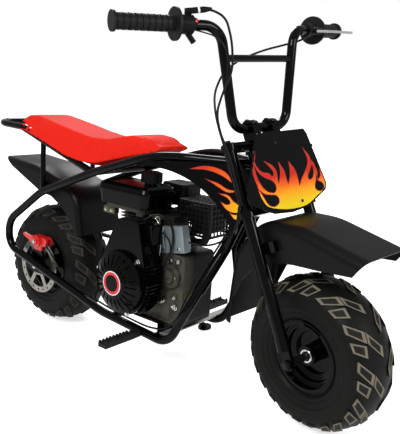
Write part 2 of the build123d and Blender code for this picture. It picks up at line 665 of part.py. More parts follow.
# Fuel tank: two tapered halves that meet in a welded lip, its neck, and a ribbed cap
TANK_X = (crank_x - 148, crank_x + 46)
TANK_Y = (-122.0, 8.0)
TANK_LIP = 290.0
tank_mid = Pos((TANK_X[0] + TANK_X[1]) / 2, (TANK_Y[0] + TANK_Y[1]) / 2, 0)
tank_l = TANK_X[1] - TANK_X[0]
tank_w = TANK_Y[1] - TANK_Y[0]
tank = extrude(tank_mid * Pos(0, 0, TANK_LIP - 2) * RectangleRounded(tank_l, tank_w, 30), 4)
shell_face = RectangleRounded(tank_l - 9, tank_w - 9, 26)
crown_face = RectangleRounded(tank_l - 24, tank_w - 24, 20)
tank += extrude(tank_mid * Pos(0, 0, TANK_LIP) * Rot(180, 0, 0) * shell_face, TANK_LIP - TANK_LOW, taper=10)
tank += extrude(tank_mid * Pos(0, 0, TANK_LIP) * shell_face, 10, taper=20)
tank += extrude(tank_mid * Pos(0, 0, TANK_LIP + 10) * crown_face, 6, taper=50)
CAP_X = crank_x
CAP_Y = -57.0
tank += rod((CAP_X, CAP_Y, TANK_LIP + 8), (CAP_X, CAP_Y, TANK_LIP + 24), 18)
pieces["fuel_tank"] = tank
cap_low = TANK_LIP + 24 + SEAT_GAP
cap = extrude(Pos(CAP_X, CAP_Y, cap_low) * (Circle(26) + spokes(18, 20, 27.5, 3)), 24)
pieces["fuel_cap"] = cap + extrude(Pos(CAP_X, CAP_Y, cap_low + 24) * Circle(22), 3, taper=40)
cleaner = fillet(box((crank_x - 34, crank_x + 52), (14, 86), (TANK_LOW, 306)).edges().filter_by(Axis.Z), 14)
cleaner = fillet(cleaner.faces().sort_by(Axis.Z)[-1].edges(), 6)
cleaner += fillet(box((crank_x - 36, crank_x + 54), (12, 88), (272, 276)).edges().filter_by(Axis.Z), 15)
pieces["air_cleaner"] = cleaner

# Carburettor on the left under the air cleaner, and the zinc-plated box on the right
carb_x = crank_x + 12
carb = rod((carb_x, 60, 178), (carb_x, 60, 206), 16) + box((carb_x - 20, carb_x + 20), (44, 74), (204, 236))
carb += box((carb_x - 12, carb_x + 12), (46, 70), (236, TANK_LOW - SEAT_GAP))
carb += rod((carb_x, 52, 218), (carb_x + 36, 52, 218), 10)
carb += ring_y((carb_x + 30, 218), 12, 0, FIN_HALF + SEAT_GAP, 58)
pieces["carburettor"] = carb
shield_mid = (crank_x + 91, 184)
shield = side_sketch(Rot(0, 0, 11) * RectangleRounded(82, 66, 3), shield_mid, -74, -52)
shield += side_sketch(Rot(0, 0, 11) * RectangleRounded(70, 54, 3), shield_mid, -52, -FIN_HALF - SEAT_GAP)
pieces["cylinder_shield"] = shield - case

# Muffler on its pipe, inside a guard of crossed wires
MUFFLER_OUT = [(75, 264), (158, 268), (157, 200), (115, 196)]
muffler = side_plate(MUFFLER_OUT, -14, 56, (crank_x, 0))
muffler = fillet(muffler.edges().filter_by(Axis.Y), 6)
muffler += tube([(crank_x + 60, 12, 160), (crank_x + 132, 12, 172), (crank_x + 132, 12, 205)], [16], 10)
muffler -= case
for x in (90, 140):
    muffler += rod((crank_x + x, 20, 260), (crank_x + x, 20, 277 - SEAT_GAP), 4)
pieces["muffler"] = muffler.solids().sort_by(SortBy.VOLUME)[-1]
GUARD_X = (crank_x + 69, crank_x + 172)
GUARD_Y = (-25.0, 67.0)
GUARD_Z = (193.0, 280.0)
GUARD_STEP = 13.0
WIRE = 3.0
guard = box(GUARD_X, GUARD_Y, GUARD_Z)
guard -= box((GUARD_X[0] + WIRE, GUARD_X[1] - WIRE), (GUARD_Y[0] + WIRE, GUARD_Y[1] - WIRE),
             (GUARD_Z[0] - 1, GUARD_Z[1] - WIRE))


def windows(plane, across, up, length):
    """Bars through a grid of square windows over two spans, drawn on a plane and made solid."""
    counts = [int((span[1] - span[0] - 2 * WIRE) / GUARD_STEP) for span in (across, up)]
    middle = Pos((across[0] + across[1]) / 2, (up[0] + up[1]) / 2)
    hole = Rectangle(GUARD_STEP - WIRE, GUARD_STEP - WIRE)
    grid = Sketch() + [middle * spot * hole for spot in GridLocations(GUARD_STEP, GUARD_STEP, *counts)]
    return extrude(plane * grid, length, both=True)


guard -= windows(Plane.XY, GUARD_X, GUARD_Y, 600)
guard -= windows(Plane.XZ, GUARD_X, GUARD_Z, 600)
guard -= windows(Plane.YZ, GUARD_Y, GUARD_Z, 900)
pieces["muffler_guard"] = guard

# Clutch cover: a round drilled cap over the clutch, open where the chain leaves it
COVER_R = 82.0
COVER_OUT = 92.0
cover = ring_y(crank, COVER_R, 0, 52, COVER_OUT)
cover -= ring_y(crank, COVER_R - COVER_T, 0, 52, COVER_OUT - COVER_T)
cover -= belt(chain_line(2 * LINK_HALF_H), 40, COVER_OUT - COVER_T)
cover -= side_sketch(holes(8, 56, 8), crank, 50, COVER_OUT)
for a in (50, 100):
    spot = (crank_x + (COVER_R - 6) * cos(radians(a)), CRANK_Z + (COVER_R - 6) * sin(radians(a)))
    cover += ring_y(spot, 5, 0, CASE_LEFT + SEAT_GAP, COVER_OUT - 1)
pieces["clutch_cover"] = cover

# Fork legs with their axle feet and the lugs that hold the fender
leg_top_w = head_high_w + CLAMP_H + 4
leg = rod(fork_point(0, -LEG_Y, 34), fork_point(0, -LEG_Y, leg_top_w), LEG_R)
leg += rod(fork_point(0, -LEG_Y, 30), fork_point(0, -LEG_Y, 58), LEG_R + 1.5)
foot = Polyline((-14, 40), (14, 40), (15, 6), (9, -14), (-9, -14), (-15, 6), close=True)
foot_plane = Plane(origin=(WHEELBASE, -LEG_Y + 4, 0), x_dir=(rake_cos, 0, rake_sin), z_dir=(0, -1, 0))
leg += extrude(foot_plane * make_face(foot), 8)
leg -= ring_y((WHEELBASE, 0), AXLE_R + RUN_FIT, 0, -LEG_Y - 20, -LEG_Y + 20)
leg += fork_block((-8, 42), (-LEG_Y + 10, -FENDER_HALF - SEAT_GAP), (TYRE_R + 60, TYRE_R + 84))
steered["fork_legs"] = both(leg)

# Clamps: plates whose outline wraps the two legs and the stem
def clamp_plate(low, stem_r, leg_r):
    """A clamp plate from low up, a hull round both legs and the stem."""
    edges = [Circle(stem_r).edge().translate((-FORK_OFFSET, 0, 0))]
    edges += [Circle(leg_r).edge().translate((0, side * LEG_Y, 0)) for side in (-1, 1)]
    body = extrude(fork_plane(0, 0, low) * make_hull(edges), CLAMP_H)
    for y in (-LEG_Y, LEG_Y):
        body -= rod(fork_point(0, y, low - 5), fork_point(0, y, low + 30), LEG_R + RUN_FIT)
    return body


CLAMP_GAP = 2.0
lower_low = head_low_w - CLAMP_GAP - CLAMP_H
lower = clamp_plate(lower_low, 22, CLAMP_LEG_R)
stem_low = fork_point(-FORK_OFFSET, 0, lower_low + CLAMP_H)
stem_top = fork_point(-FORK_OFFSET, 0, head_high_w + CLAMP_GAP - SEAT_GAP)
lower += rod(stem_low, stem_top, STEM_R)
steered["lower_clamp"] = lower
bar_centre = fork_point(12, 0, head_high_w + BAR_RISE)
clamp_top_w = head_high_w + CLAMP_GAP + CLAMP_H
upper = clamp_plate(head_high_w + CLAMP_GAP, 20, CLAMP_LEG_R - 2)
upper += rod(fork_point(-FORK_OFFSET, 0, clamp_top_w), fork_point(-FORK_OFFSET, 0, clamp_top_w + 6), 13)
for y in (-32, 32):
    post = fork_block((-6, 30), (y - 11, y + 11), (clamp_top_w - 4, head_high_w + BAR_RISE))
    upper += post + rod(bar_centre + Vector(0, y - 11, 0), bar_centre + Vector(0, y + 11, 0), 19)
upper += fork_block((14, 56), (-16, 16), (head_high_w + CLAMP_GAP + 2, head_high_w + CLAMP_GAP + 8))
upper -= rod(bar_centre - Vector(0, 60, 0), bar_centre + Vector(0, 60, 0), BAR_R + RUN_FIT)
steered["upper_clamp"] = upper

axle = ring_y((WHEELBASE, 0), AXLE_R, 0, -LEG_Y - 14, LEG_Y + 14)
for side in (-1, 1):
    nut = sorted((side * (LEG_Y + 4.3), side * (LEG_Y + 12)))
    spacer = sorted((side * (HUB_HALF + 0.5), side * (LEG_Y - 4.3)))
    axle += side_sketch(RegularPolygon(10, 6), (WHEELBASE, 0), *nut) + ring_y((WHEELBASE, 0), 9, 0, *spacer)
steered["front_axle"] = axle

# Handlebar: one bent tube with a welded crossbar. Each offset is from the bar clamps' middle.
BAR_BENDS = [(0, 86, 0), (-15, 118, 219), (-72, GRIP_OUT + 2, 222)]
CROSSBAR_UP = 153.0
CROSSBAR_R = 8.0
right_side = [bar_centre + Vector(x, -y, z) for x, y, z in reversed(BAR_BENDS)]
left_side = [bar_centre + Vector(*offset) for offset in BAR_BENDS]
bar = tube(right_side + left_side, [45, 38, 38, 45], BAR_R)
lift = CROSSBAR_UP / BAR_BENDS[1][2]
cross_y = BAR_BENDS[0][1] + (BAR_BENDS[1][1] - BAR_BENDS[0][1]) * lift
cross_mid = bar_centre + Vector(BAR_BENDS[1][0] * lift, 0, CROSSBAR_UP)
bar += rod(cross_mid - Vector(0, cross_y, 0), cross_mid + Vector(0, cross_y, 0), CROSSBAR_R)
steered["handlebar"] = bar


def on_bar(side, y):
    """The handlebar's centre at a given distance from the middle plane."""
    a, b = [bar_centre + Vector(x, side * across, z) for x, across, z in BAR_BENDS[1:]]
    run = (b - a).normalized()
    return a + run * ((y - abs(a.Y)) / abs(run.Y))


def on_bar_rod(side, y, radius):
    """A round piece about the handlebar's end, between two distances from the middle plane."""
    return rod(on_bar(side, y[0]), on_bar(side, y[1]), radius)


for side, name in ((-1, "right"), (1, "left")):
    grip = on_bar_rod(side, (GRIP_IN, GRIP_OUT + 6), GRIP_R - 2)
    for i in range(9):
        y = GRIP_IN + 14 + i * 13
        grip += on_bar_rod(side, (y, y + 8), GRIP_R)
    grip += on_bar_rod(side, (GRIP_IN, GRIP_IN + 5), FLANGE_R)
    grip += on_bar_rod(side, (GRIP_OUT + 1, GRIP_OUT + 6), GRIP_R + 4)
    steered["grip_" + name] = grip - on_bar_rod(side, (GRIP_IN - 1, GRIP_OUT + 3), BAR_R + RUN_FIT)
housing = on_bar_rod(-1, (GRIP_IN - 34, GRIP_IN - 1), 20)
housing += rod(on_bar(-1, GRIP_IN - 18) + Vector(-4, 0, -4), on_bar(-1, GRIP_IN - 30) + Vector(4, 8, -36), 6)
steered["throttle_housing"] = housing - on_bar_rod(-1, (GRIP_IN - 50, GRIP_IN + 10), BAR_R + RUN_FIT)
perch = on_bar_rod(1, (GRIP_IN - 34, GRIP_IN - 8), 16)
pivot = on_bar(1, GRIP_IN - 20) + Vector(30, 0, -2)
perch += rod(on_bar(1, GRIP_IN - 20) + Vector(10, 0, 0), pivot, 9)
perch += rod(pivot + Vector(0, 0, -7), pivot + Vector(0, 0, 7), 9)
perch -= rod(pivot + Vector(-1, 0, -3.5), pivot + Vector(-1, 0, 3.5), 11.5)
perch += rod(pivot + Vector(0, 0, -7), pivot + Vector(0, 0, 7), 3)
perch -= on_bar_rod(1, (GRIP_IN - 50, GRIP_IN + 10), BAR_R + RUN_FIT)
steered["lever_perch"] = perch
LEVER_LINE = [(0, 0), (14, 8), (16, 36), (6, 100), (2, 124)]
lever = rod(pivot + Vector(0, 0, -3), pivot + Vector(0, 0, 3), 9)
for (x, y), (x2, y2) in zip(LEVER_LINE, LEVER_LINE[1:]):
    ends = [(Pos(x, y) * Circle(5)).edge(), (Pos(x2, y2) * Circle(5)).edge()]
    lever += extrude(Plane(origin=pivot + Vector(0, 0, -3)) * make_hull(ends), 6)
lever += rod(pivot + Vector(2, 124, -3), pivot + Vector(2, 124, 3), 8)
steered["brake_lever"] = lever - rod(pivot + Vector(0, 0, -9), pivot + Vector(0, 0, 9), 3 + RUN_FIT)

# Number plate in front of the fork, tilted
PLATE_TILT = 14.0
PLATE_OUTLINE = [(-76, 0), (76, 0), (86, -12), (133, -132), (128, -148), (56, -178), (0, -183), (-56, -178),
                 (-128, -148), (-133, -132), (-86, -12)]
plate_plane = Plane(origin=bar_centre + Vector(60, 0, -2), x_dir=(0, 1, 0),
                    z_dir=(cos(radians(PLATE_TILT)), 0, sin(radians(PLATE_TILT))))
plate = extrude(plate_plane * make_face(Polyline(*PLATE_OUTLINE, close=True)), 3)
steered["number_plate"] = fillet(plate.edges().filter_by(lambda e: 2.9 < e.length < 3.1), 6)

# Control cables on the fork: from the lever and from the throttle, past the right upright
# and down the front of the right leg. Offsets are from the bar clamps' middle.
CABLE_R = 2.5
LEVER_ROUTE = [(0, 166, 212), (-10, 144, 196), (-36, 112, 184), (-37, 56, 174), (-28, 0, 163),
               (-27, -56, 146), (-27, -100, 118), (-20, -128, 78), (-6, -136, 38), (5, -133, 0)]
THROTTLE_ROUTE = [(-28, -184, 248), (-10, -152, 252), (10, -126, 236), (17, -114, 190), (21, -113, 130),
                  (8, -128, 84), (4, -142, 42), (12, -139, 2)]
leg_side = LEG_Y + LEG_R + CABLE_R + SEAT_GAP
clamp_side = LEG_Y + CLAMP_LEG_R + CABLE_R + SEAT_GAP
fork_routes = []
for route, u in ((LEVER_ROUTE, 5.0), (THROTTLE_ROUTE, 11.5)):
    line = [bar_centre + Vector(*offset) for offset in route]
    line += [fork_point(u + 6, -clamp_side, head_high_w - 6), fork_point(u, -leg_side, head_high_w - 52),
             fork_point(u, -leg_side - 0.4, head_low_w + 12)]
    fork_routes.append(cable(line, CABLE_R))
steered["fork_cables"] = Compound(fork_routes)
outlet, onward = [bar_centre + Vector(*offset) for offset in THROTTLE_ROUTE[:2]]
outlet_way = (onward - outlet).normalized()
neck = rod(outlet - outlet_way * 14, outlet - outlet_way * SEAT_GAP, 4)
neck += rod(outlet - outlet_way * 12, on_bar(-1, GRIP_IN - 22), 5)
steered["throttle_housing"] += neck - on_bar_rod(-1, (GRIP_IN - 50, GRIP_IN + 10), BAR_R + RUN_FIT)

# Cables on the frame: the throttle's to the engine, and the brake's along the right loop
# to the caliper
CABLE_LIFT = 13.0
loop_side = LOOP_Y - 9
throttle_run = [(WHEELBASE - 244, -40, 222), (WHEELBASE - 262, -43, 202), (WHEELBASE - 290, -48, 188),
                (WHEELBASE - 322, -55, 182), (crank_x + 137, -60, 185)]
brake_run = [(WHEELBASE - 252, -47, 216), (WHEELBASE - 276, -50, 172), (WHEELBASE - 306, -72, 110),
             (WHEELBASE - 324, -92, 48), (WHEELBASE - 346, -94, -8), (WHEELBASE - 384, -loop_side, -42)]
for x in (WHEELBASE - 440, low_knee_x + 4, low_knee_x - 160):
    brake_run.append((x, -loop_side, lower_line(x) + CABLE_LIFT))
brake_run += [(112, -98, 24), (84, -98, 52), (CALIPER_X + 42, -97, caliper_z - 4)]
pieces["frame_cables"] = Compound([cable(throttle_run, CABLE_R), cable(brake_run, CABLE_R)])

# The steering at rest, and how the bike then stands: it leans left onto its stand
steer_axis = Axis(fork_point(-FORK_OFFSET, 0, 0), (-rake_sin, 0, rake_cos))
lean_axis = Axis((0, 0, 0), (1, 0, 0))
lean_sin = sin(radians(LEAN))
lean_cos = cos(radians(LEAN))
for name, shape in steered.items():
    pieces[name] = shape.rotate(steer_axis, STEER_REST)
rear_floor = pieces["rear_tyre"].rotate(lean_axis, -LEAN).bounding_box().min.Z
front_floor = pieces["front_tyre"].rotate(lean_axis, -LEAN).bounding_box().min.Z


def ground(x, y):
    """The ground's height at a place, seen from the upright bike."""
    level = rear_floor + (front_floor - rear_floor) * x / WHEELBASE
    return (level + y * lean_sin) / lean_cos


# Side stand on the left, swung down: it turns on a slanting bolt under the loop
STAND_BACK = 540.0
STAND_OUT = 102.0
stand_x = WHEELBASE - STAND_BACK
STAND_PIVOT = Vector(stand_x, LOOP_Y + TUBE_R + 12, lower_line(stand_x) - 10)
STAND_STOWED = Vector(-1, 0.05, 0.08)
STAND_R = 7.0
EYE_R = 9.0
EYE_HALF = 8.0
STAND_BOLT_R = 5.0
stand_foot = Vector(stand_x + 46, LOOP_Y + STAND_OUT, ground(stand_x + 46, LOOP_Y + STAND_OUT))
stand_axis = (stand_foot - STAND_PIVOT).cross(STAND_STOWED).normalized()
shank = stand_foot - STAND_PIVOT
shank_start = STAND_PIVOT + shank.normalized() * (EYE_R - 2)
foot_up = Vector(0, -lean_sin, lean_cos)
stand = rod(shank_start, stand_foot + foot_up * 6, STAND_R)
stand += extrude(Plane(origin=stand_foot, z_dir=foot_up) * Circle(20), 5)
stand += rod(STAND_PIVOT - stand_axis * EYE_HALF, STAND_PIVOT + stand_axis * EYE_HALF, EYE_R)
stand -= rod(STAND_PIVOT - stand_axis * 20, STAND_PIVOT + stand_axis * 20, STAND_BOLT_R + RUN_FIT)
pieces["side_stand"] = stand
boss_top = STAND_PIVOT - stand_axis * (EYE_HALF + 0.5)
boss_low = STAND_PIVOT - stand_axis * 17
boss = rod(boss_low, boss_top, EYE_R) + rod(boss_low, STAND_PIVOT + stand_axis * (EYE_HALF + 1), STAND_BOLT_R)
boss += rod(STAND_PIVOT + stand_axis * (EYE_HALF + 0.5), STAND_PIVOT + stand_axis * (EYE_HALF + 4), EYE_R - 1)
boss += rod(boss_low + stand_axis * 4, (stand_x, LOOP_Y, lower_line(stand_x) - 4), STAND_BOLT_R - 1)
pieces["frame_loop_left"] += boss

# The lean, the small pitch that sets both tyres down, and the origin under the middle
pitch = degrees(atan2(front_floor - rear_floor, WHEELBASE))
pitch_axis = Axis((0, 0, 0), (0, 1, 0))
standing = {name: shape.rotate(lean_axis, -LEAN).rotate(pitch_axis, pitch) for name, shape in pieces.items()}
whole = Compound(list(standing.values())).bounding_box()
to_origin = Vector(-(whole.min.X + whole.max.X) / 2, -(whole.min.Y + whole.max.Y) / 2, -whole.min.Z)

for name, shape in standing.items():
    shape = shape.translate(to_origin)
    shape.label = name
    export_step(shape, "parts/" + name + ".step")
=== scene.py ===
import json
import math
import bmesh
import bpy
from mathutils import Matrix, Vector
from mathutils.geometry import intersect_line_plane


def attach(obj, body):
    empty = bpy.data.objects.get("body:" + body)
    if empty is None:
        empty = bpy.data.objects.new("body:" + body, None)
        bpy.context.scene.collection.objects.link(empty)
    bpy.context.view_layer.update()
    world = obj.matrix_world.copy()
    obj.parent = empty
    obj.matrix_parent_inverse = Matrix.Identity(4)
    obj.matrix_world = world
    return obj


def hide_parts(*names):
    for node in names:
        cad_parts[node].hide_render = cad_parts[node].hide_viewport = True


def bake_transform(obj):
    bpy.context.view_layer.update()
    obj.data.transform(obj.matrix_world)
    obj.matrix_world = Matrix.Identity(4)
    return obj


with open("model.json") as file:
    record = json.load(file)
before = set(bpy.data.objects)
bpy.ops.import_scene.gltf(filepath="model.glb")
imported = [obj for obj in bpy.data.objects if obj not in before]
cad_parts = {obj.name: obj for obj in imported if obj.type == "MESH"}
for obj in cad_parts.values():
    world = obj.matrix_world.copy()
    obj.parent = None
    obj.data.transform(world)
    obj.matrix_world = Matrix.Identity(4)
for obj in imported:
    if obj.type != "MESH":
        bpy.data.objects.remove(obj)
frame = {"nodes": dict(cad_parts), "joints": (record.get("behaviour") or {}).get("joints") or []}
nodes = frame["nodes"]
joints = {joint["name"]: joint for joint in frame["joints"]}


def write_size():
    """Brings the scene's placements up to date."""
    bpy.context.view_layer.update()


write_size()

# The upright bike's own frame: its origin is the rear axle's middle, X forward, Y left
REAR_AXLE = Vector(joints["rear_wheel_spin"]["pos_m"])
LEFT = Vector(joints["rear_wheel_spin"]["axis"]).normalized()
UP = Vector((1, 0, 0)).cross(LEFT).normalized()
FORWARD = LEFT.cross(UP)
MM = 0.001
UPRIGHT = (Matrix.Translation(REAR_AXLE) @ Matrix((FORWARD, LEFT, UP)).transposed().to_4x4()
           @ Matrix.Scale(MM, 4))

# The fork's frame: the same, straight ahead, then turned by the steering's rest angle
STEER_REST = math.radians(-9)
steer_at = Vector(joints["steering"]["pos_m"])
steer_turn = Matrix.Rotation(STEER_REST, 4, Vector(joints["steering"]["axis"]))
STEERED = Matrix.Translation(steer_at) @ steer_turn @ Matrix.Translation(-steer_at) @ UPRIGHT

# Places on the bike, in millimetres
WHEELBASE = 912
TYRE_R = 178
CRANK = Vector((WHEELBASE - 485.4, 0, 72))
RAKE = math.radians(24)
HEAD_HIGH_W = 474
FRONT_AXLE = STEERED @ Matrix.Translation((WHEELBASE, 0, 0))


def fork_point(u, v, w):
    """A point from the fork's own axes: u forward, v left, w up along the steering."""
    return Vector((WHEELBASE + u * math.cos(RAKE) - w * math.sin(RAKE), v,
                   u * math.sin(RAKE) + w * math.cos(RAKE)))


BAR_CENTRE = fork_point(12, 0, HEAD_HIGH_W + 45)


def bike(x, y, z):
    """A place on the upright bike as a world point."""
    return UPRIGHT @ Vector((x, y, z))


def bike_way(x, y, z):
    """A direction on the upright bike as a world direction."""
    return (FORWARD * x + LEFT * y + UP * z).normalized()


# Where the photograph was taken from, in the upright bike's frame, and its own directions
CAMERA_AT = (1550.8, -1230.5, 583.8)
CAMERA_YAW = math.radians(127.67)
CAMERA_PITCH = math.radians(-10.86)
CAMERA_ROLL = math.radians(3.72)
PHOTO_W = 400
FOCAL_PX = 646.27
CENTRE_PX = (218.71, 202.09)
PHOTO_MIDDLE = (200, 217)
SENSOR_MM = 36.0

look = bike_way(math.cos(CAMERA_YAW) * math.cos(CAMERA_PITCH), math.sin(CAMERA_YAW) * math.cos(CAMERA_PITCH),
                math.sin(CAMERA_PITCH))
level = look.cross(UP).normalized()
rise = level.cross(look)
aside = level * math.cos(CAMERA_ROLL) + rise * math.sin(CAMERA_ROLL)
above = -level * math.sin(CAMERA_ROLL) + rise * math.cos(CAMERA_ROLL)


def between(rows, x):
    """The row at x in a table whose first column is x, straight between its rows."""
    x = min(max(x, rows[0][0]), rows[-1][0])
    a, b = next(pair for pair in zip(rows, rows[1:]) if x <= pair[1][0])
    share = (x - a[0]) / (b[0] - a[0])
    return [p + (q - p) * share for p, q in zip(a[1:], b[1:])]


# Materials

def material(name, colour, rough, metal=0.0, vary=0.06, bump=0.0, grain=60.0, coat=0.0, shine=0.5):
    """A plain surface: its colour and roughness wander a little with a noise in object coordinates."""
    mat = bpy.data.materials.new(name)
    mat.use_nodes = True
    tree = mat.node_tree
    shader = tree.nodes["Principled BSDF"]
    shader.inputs["Metallic"].default_value = metal
    shader.inputs["Coat Weight"].default_value = coat
    shader.inputs["Coat Roughness"].default_value = 0.06
    shader.inputs["Specular IOR Level"].default_value = shine
    place = tree.nodes.new("ShaderNodeTexCoord")
    noise = tree.nodes.new("ShaderNodeTexNoise")
    noise.inputs["Scale"].default_value = grain
    noise.inputs["Detail"].default_value = 4.0
    tree.links.new(place.outputs["Object"], noise.inputs["Vector"])
    shade = tree.nodes.new("ShaderNodeMix")
    shade.data_type = "RGBA"
    shade.inputs[6].default_value = [c * (1 - vary) for c in colour] + [1]
    shade.inputs[7].default_value = [min(c * (1 + vary), 1) for c in colour] + [1]
    tree.links.new(noise.outputs["Fac"], shade.inputs[0])
    tree.links.new(shade.outputs[2], shader.inputs["Base Color"])
    span = tree.nodes.new("ShaderNodeMapRange")
    span.inputs["To Min"].default_value = rough * 0.85
    span.inputs["To Max"].default_value = min(rough * 1.15, 1)
    tree.links.new(noise.outputs["Fac"], span.inputs["Value"])
    tree.links.new(span.outputs["Result"], shader.inputs["Roughness"])
    if bump > 0:
        relief = tree.nodes.new("ShaderNodeBump")
        relief.inputs["Strength"].default_value = 1.0
        relief.inputs["Distance"].default_value = bump
        tree.links.new(noise.outputs["Fac"], relief.inputs["Height"])
        tree.links.new(relief.outputs["Normal"], shader.inputs["Normal"])
    return mat


def dusted(mat, dust, share, scale):
    """Dust or wear over a material: a large noise lets a second colour through in patches."""
    tree = mat.node_tree
    shader = tree.nodes["Principled BSDF"]
    below = shader.inputs["Base Color"].links[0].from_socket
    place = next(n for n in tree.nodes if n.type == "TEX_COORD")
    cloud = tree.nodes.new("ShaderNodeTexNoise")
    cloud.inputs["Scale"].default_value = scale
    cloud.inputs["Detail"].default_value = 6.0
    tree.links.new(place.outputs["Object"], cloud.inputs["Vector"])
    edge = tree.nodes.new("ShaderNodeMapRange")
    edge.inputs["From Min"].default_value = 0.5
    edge.inputs["From Max"].default_value = 0.75
    edge.inputs["To Max"].default_value = share
    tree.links.new(cloud.outputs["Fac"], edge.inputs["Value"])
    layer = tree.nodes.new("ShaderNodeMix")
    layer.data_type = "RGBA"
    layer.inputs[7].default_value = (*dust, 1)
    tree.links.new(edge.outputs["Result"], layer.inputs[0])
    tree.links.new(below, layer.inputs[6])
    tree.links.new(layer.outputs[2], shader.inputs["Base Color"])
    return mat


def fade_to_painted_shade(mat, dark, start, end):
    """A material that darkens to a second colour along a line between two world points, as painted shade."""
    tree = mat.node_tree
    shader = tree.nodes["Principled BSDF"]
    below = shader.inputs["Base Color"].links[0].from_socket
    place = next(n for n in tree.nodes if n.type == "TEX_COORD")
    way = (end - start) / (end - start).length_squared
    along = tree.nodes.new("ShaderNodeVectorMath")
    along.operation = "DOT_PRODUCT"
    along.inputs[1].default_value = way
    tree.links.new(place.outputs["Object"], along.inputs[0])
    share = tree.nodes.new("ShaderNodeMapRange")
    share.inputs["From Min"].default_value = start.dot(way)
    share.inputs["From Max"].default_value = start.dot(way) + 1
    tree.links.new(along.outputs["Value"], share.inputs["Value"])
    layer = tree.nodes.new("ShaderNodeMix")
    layer.data_type = "RGBA"
    layer.inputs[7].default_value = (*dark, 1)
    tree.links.new(share.outputs["Result"], layer.inputs[0])
    tree.links.new(below, layer.inputs[6])
    tree.links.new(layer.outputs[2], shader.inputs["Base Color"])
    return mat


def banded(name, start, end, stops, rough, coat=0.05):
    """Colours that change along a line between two world points."""
    mat = bpy.data.materials.new(name)
    mat.use_nodes = True
    tree = mat.node_tree
    shader = tree.nodes["Principled BSDF"]
    shader.inputs["Roughness"].default_value = rough
    shader.inputs["Specular IOR Level"].default_value = 0.15
    shader.inputs["Coat Weight"].default_value = coat
    way = (end - start) / (end - start).length_squared
    place = tree.nodes.new("ShaderNodeTexCoord")
    along = tree.nodes.new("ShaderNodeVectorMath")
    along.operation = "DOT_PRODUCT"
    along.inputs[1].default_value = way
    tree.links.new(place.outputs["Object"], along.inputs[0])
    shift = tree.nodes.new("ShaderNodeMath")
    shift.operation = "SUBTRACT"
    shift.inputs[1].default_value = start.dot(way)
    tree.links.new(along.outputs["Value"], shift.inputs[0])
    noise = tree.nodes.new("ShaderNodeTexNoise")
    noise.inputs["Scale"].default_value = 45.0
    tree.links.new(place.outputs["Object"], noise.inputs["Vector"])
    wander = tree.nodes.new("ShaderNodeMath")
    wander.operation = "MULTIPLY_ADD"
    wander.inputs[1].default_value = 0.12
    tree.links.new(noise.outputs["Fac"], wander.inputs[0])
    tree.links.new(shift.outputs["Value"], wander.inputs[2])
    ramp = tree.nodes.new("ShaderNodeValToRGB")
    tree.links.new(wander.outputs["Value"], ramp.inputs["Fac"])
    tree.links.new(ramp.outputs["Color"], shader.inputs["Base Color"])
    marks = ramp.color_ramp.elements
    while len(marks) < len(stops):
        marks.new(0.5)
    for mark, (at, colour) in zip(marks, stops):
        mark.position = at
        mark.color = (*colour, 1)
    return mat


black_paint = material("black paint", (0.0012, 0.0012, 0.0014), 0.1, coat=0.16, shine=0.05)
black_plastic = material("black plastic", (0.004, 0.004, 0.0048), 0.45, bump=0.00015, grain=1200, shine=0.1)
fender_plastic = material("fender plastic", (0.0035, 0.0035, 0.004), 0.38, bump=0.0001, grain=1400,
                          shine=0.12)
gloss_black = material("gloss black plastic", (0.0012, 0.0012, 0.0014), 0.1, coat=0.12, shine=0.05)
plate_black = material("plate black", (0.003, 0.003, 0.0034), 0.28, coat=0.05, shine=0.06)
rubber = material("tyre rubber", (0.0052, 0.005, 0.0046), 0.5, vary=0.3, bump=0.0002, grain=260, shine=0.1)
lug_top = dusted(material("lug tops", (0.007, 0.0068, 0.006), 0.62, vary=0.3, bump=0.0003, grain=500,
                          shine=0.16), (0.03, 0.027, 0.02), 0.4, 30)
lug_edge = dusted(material("lug edges", (0.14, 0.125, 0.09), 0.75, vary=0.3, bump=0.0003, grain=600,
                           shine=0.2), (0.06, 0.054, 0.04), 0.45, 40)
lug_dull = dusted(material("dull lug edges", (0.035, 0.032, 0.025), 0.75, vary=0.3, bump=0.0003, grain=600,
                           shine=0.2), (0.008, 0.0075, 0.006), 0.5, 40)
grip_rubber = material("grip rubber", (0.006, 0.006, 0.006), 0.5, bump=0.0001, grain=900, shine=0.18)
seat_vinyl = material("red vinyl", (0.66, 0.016, 0.008), 0.55, vary=0.02, bump=0.00012, grain=1300,
                      shine=0.04)
red_paint = material("red paint", (0.62, 0.012, 0.012), 0.28, coat=0.4, vary=0.12, grain=200)
ALLOY = (0.085, 0.078, 0.064)
ALLOY_DUST = (0.018, 0.017, 0.014)
cast_alloy = dusted(material("cast alloy", ALLOY, 0.5, metal=0.7, vary=0.25, bump=0.0004, grain=420),
                    ALLOY_DUST, 0.9, 40)
block_alloy_painted_shade = dusted(material("block alloy with painted shade", ALLOY, 0.5, metal=0.4, vary=0.25, bump=0.0004, grain=420,
                              shine=0.2), ALLOY_DUST, 0.9, 40)
